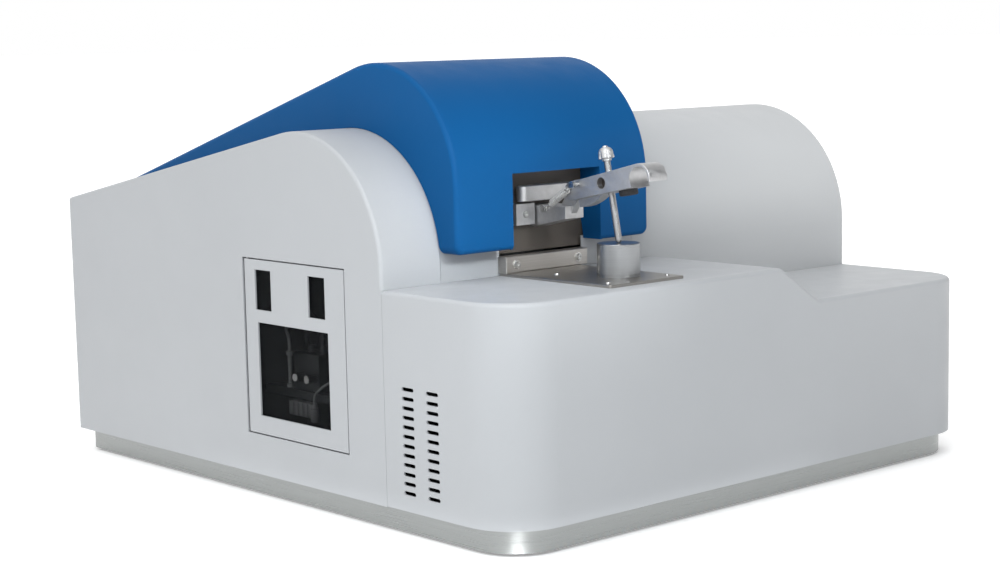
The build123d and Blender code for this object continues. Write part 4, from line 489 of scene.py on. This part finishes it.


# White on the spark knob's cap: a painted highlight for the bright dot on the knob
knob_painted_highlight = moulded("knob_painted_highlight", (0.92, 0.92, 0.90), 0.35)
grey_plastic = moulded("grey_plastic", (0.22, 0.22, 0.23), 0.4)
clear_tube = moulded("pale_tube", (0.24, 0.25, 0.25), 0.25)
bright_metal = turned("bright_metal", (0.80, 0.80, 0.79), 0.22)
dark_hose = moulded("dark_hose", (0.03, 0.03, 0.035), 0.4)

# Compartment behind the large window: flow tube, knob caps, filter, hoses and terminals.
# The spark knob's white cap is a painted highlight.
UPWARD, LEFTWARD, BACKWARD = (0, 0, 1), (-1, 0, 0), (0, 1, 0)
FLOW_TUBE = [(0, 4.2), (4, 4.2), (5, 2.4), (36, 2.4), (37, 4.2), (41, 4.2)]
SPARK_CAP = [(0, 4.1), (0.7, 4.1), (1.1, 3.6), (1.1, 1.2), (0.6, 0.9)]
PURGE_RING = [(0, 4.6), (0.9, 4.6), (1.2, 4.2), (1.2, 3.1), (0.3, 2.9)]
GAS_FILTER = [(0, 2.5), (1.5, 4.4), (15, 4.4), (16.5, 3.0), (20, 3.0), (21, 2.0)]
SUPPLY_HOSE = [(46, 360, 174), (46, 360, 200), (46, 392, 214), (70, 430, 214), (82, 444, 214)]
VALVE_HOSE = [(47, 390, 174), (47, 390, 190), (47, 350, 196), (47, 313, 190), (47, 313, 161)]
FILTER_HOSE = [(26, 352, 113), (26, 352, 122), (24, 338, 132), (32, 328, 140), (40, 326, 140)]
TUBE_HOSE = [(32, 404, 166), (32, 404, 182), (38, 420, 190), (60, 436, 190), (84, 440, 190)]
TERMINALS, TERMINAL_PITCH, TERMINAL_EDGE = 5, 9, 0.6
TERMINAL_LOW, TERMINAL_HIGH = (25, 392, 96), (33, 399, 112)

for name, place, axis, profile, material, body in (
    ("flow_tube", (32, 404, 125), UPWARD, FLOW_TUBE, clear_tube, "housing"),
    ("spark_knob_cap", (21.6, 380.5, 140), LEFTWARD, SPARK_CAP, knob_painted_highlight, "spark_flow_knob"),
    ("purge_knob_ring", (21.6, 358.9, 140), LEFTWARD, PURGE_RING, bright_metal, "purge_flow_knob"),
    ("gas_filter", (26, 352, 92), UPWARD, GAS_FILTER, grey_plastic, "housing"),
):
    turned_piece(name, at(*place), axis, profile, material, body)
for name, corners, radius, material in (
    ("supply_hose", SUPPLY_HOSE, 2.6, dark_hose),
    ("valve_hose", VALVE_HOSE, 2.2, dark_hose),
    ("filter_hose", FILTER_HOSE, 1.6, clear_tube),
    ("tube_hose", TUBE_HOSE, 1.8, clear_tube),
):
    hose(name, corners, radius, material, "housing")
for index in range(TERMINALS):
    low, high = ((x, y - TERMINAL_PITCH * index, z) for x, y, z in (TERMINAL_LOW, TERMINAL_HIGH))
    plastic = grey_plastic if index % 2 else clear_tube
    recessed_block(f"terminal_{index}", low, high, TERMINAL_EDGE, plastic, "housing")

# Small nub on the crown of the press rod's knob
ROD_TILT = math.radians(11)
ROD_REACH, CROWN_RISE = 48, 35.3  # from the arm's pivot: square to the rod, and along it
KNOB_NUB = [(-0.6, 2.9), (0.9, 2.9), (1.5, 2.4), (1.7, 1.2), (1.5, 0.8)]

arm_pivot = at(226, 134.2, 348.8)
rod_axis = Vector((0, math.sin(ROD_TILT), math.cos(ROD_TILT)))
rod_square = Vector((0, -math.cos(ROD_TILT), math.sin(ROD_TILT)))
crown = arm_pivot + (rod_square * ROD_REACH + rod_axis * CROWN_RISE) / MM
turned_piece("knob_nub", crown, rod_axis, KNOB_NUB, bright_metal, "press_rod")

# Clamp spring between both anchor screws, built at rest: the coil stays with the housing,
# and its hooks stay round their screws.
WIRE, COIL, BEND, LOOP = 0.8, 3.5, 1.75, 2.8  # radii of the wire, coil, end bends and hooks
PITCH, TURNS, TURN_STEPS, BEND_STEPS = 2.5, 12, 16, 6
END_GAP = 0.05  # between the coil's end and the hook's wire
HOOK_TURNS = [math.radians(35 + 10 * k) for k in range(30)]


def middle(node):
    low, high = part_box(node)
    return (Vector(low) + Vector(high)) / 2


def spring_point(centre, along, square, aside):
    """A point from a centre: along the spring, square to it and along X."""
    return centre + (spring_axis * along + spring_side * square + Vector((aside, 0, 0))) / MM


lower_end, upper_end = middle("spring_base_screw"), middle("spring_arm_screw")
lower_end.x = upper_end.x = middle("clamp_spring").x
spring_axis = (upper_end - lower_end).normalized()
spring_side = Vector((1, 0, 0)).cross(spring_axis)
half_length = (upper_end - lower_end).length * MM / 2
foot = PITCH * TURNS / 2 + BEND / 2

coil, tail = [], []
for k in range(TURNS * TURN_STEPS + 1):
    turn = k / TURN_STEPS - TURNS / 2
    angle = 2 * math.pi * turn - math.pi / 2
    coil.append((turn * PITCH, COIL * math.cos(angle), COIL * math.sin(angle)))
for k in range(BEND_STEPS + 1):
    angle = math.pi / (2 * BEND_STEPS) * k
    tail.append((foot + BEND * (1 - math.cos(angle)), 0, -COIL + 2 * BEND * math.sin(angle)))
tail.append((half_length - LOOP - WIRE - END_GAP, 0, 0))
wire = [(-along, -square, aside) for along, square, aside in reversed(tail)] + coil + tail
wire_path = [spring_point((lower_end + upper_end) / 2, *place) for place in wire]
spring = tube("spring_coil", wire_path, WIRE, looks["screw_steel"], "housing", WIRE_SIDES)
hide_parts("clamp_spring")
for name, end, way, body in (
    ("spring_lower_hook", lower_end, -1, "housing"),
    ("spring_upper_hook", upper_end, 1, "clamp_arm"),
):
    hook = [
        spring_point(end, way * LOOP * math.cos(turn), LOOP * math.sin(turn), 0)
        for turn in HOOK_TURNS
    ]
    tube(name, hook, WIRE, looks["screw_steel"], body, WIRE_SIDES)

joints = frame["record"]["behaviour"]["joints"]
hinge = next(joint for joint in joints if joint["name"] == "clamp_hinge")
pivot, hinge_axis = Vector(hinge["pos_m"]), Vector(hinge["axis"])
pivot.x = upper_end.x
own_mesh(spring)

# Screws of the fan guard and the mains inlet at the back
GUARD_CENTRE, GUARD_SCREW_OFFSET = (560, 799, 190), 52.5
INLET_CENTRE, INLET_SCREW_OFFSET = (110, 800, 75), 18.5
GUARD_SCREW = [(-1.8, 1.4), (0, 1.4), (0, 3.0), (0.8, 2.8), (1.5, 1.9), (1.5, 1.0), (0.7, 0.9)]
INLET_SCREW = [(-0.5, 2.4), (0, 2.4), (0.5, 2.1), (0.9, 1.3), (0.9, 0.8), (0.4, 0.7)]
SIDES = (-1, 1)

for index in range(4):
    x, y, z = GUARD_CENTRE
    x += GUARD_SCREW_OFFSET * SIDES[index % 2]
    z += GUARD_SCREW_OFFSET * SIDES[index // 2]
    place = at(x, y, z)
    turned_piece(f"guard_screw_{index}", place, BACKWARD, GUARD_SCREW, bright_metal, "housing")
for index, side in enumerate(SIDES):
    x, y, z = INLET_CENTRE
    place = at(x + INLET_SCREW_OFFSET * side, y, z)
    turned_piece(f"inlet_screw_{index}", place, BACKWARD, INLET_SCREW, bright_metal, "housing")
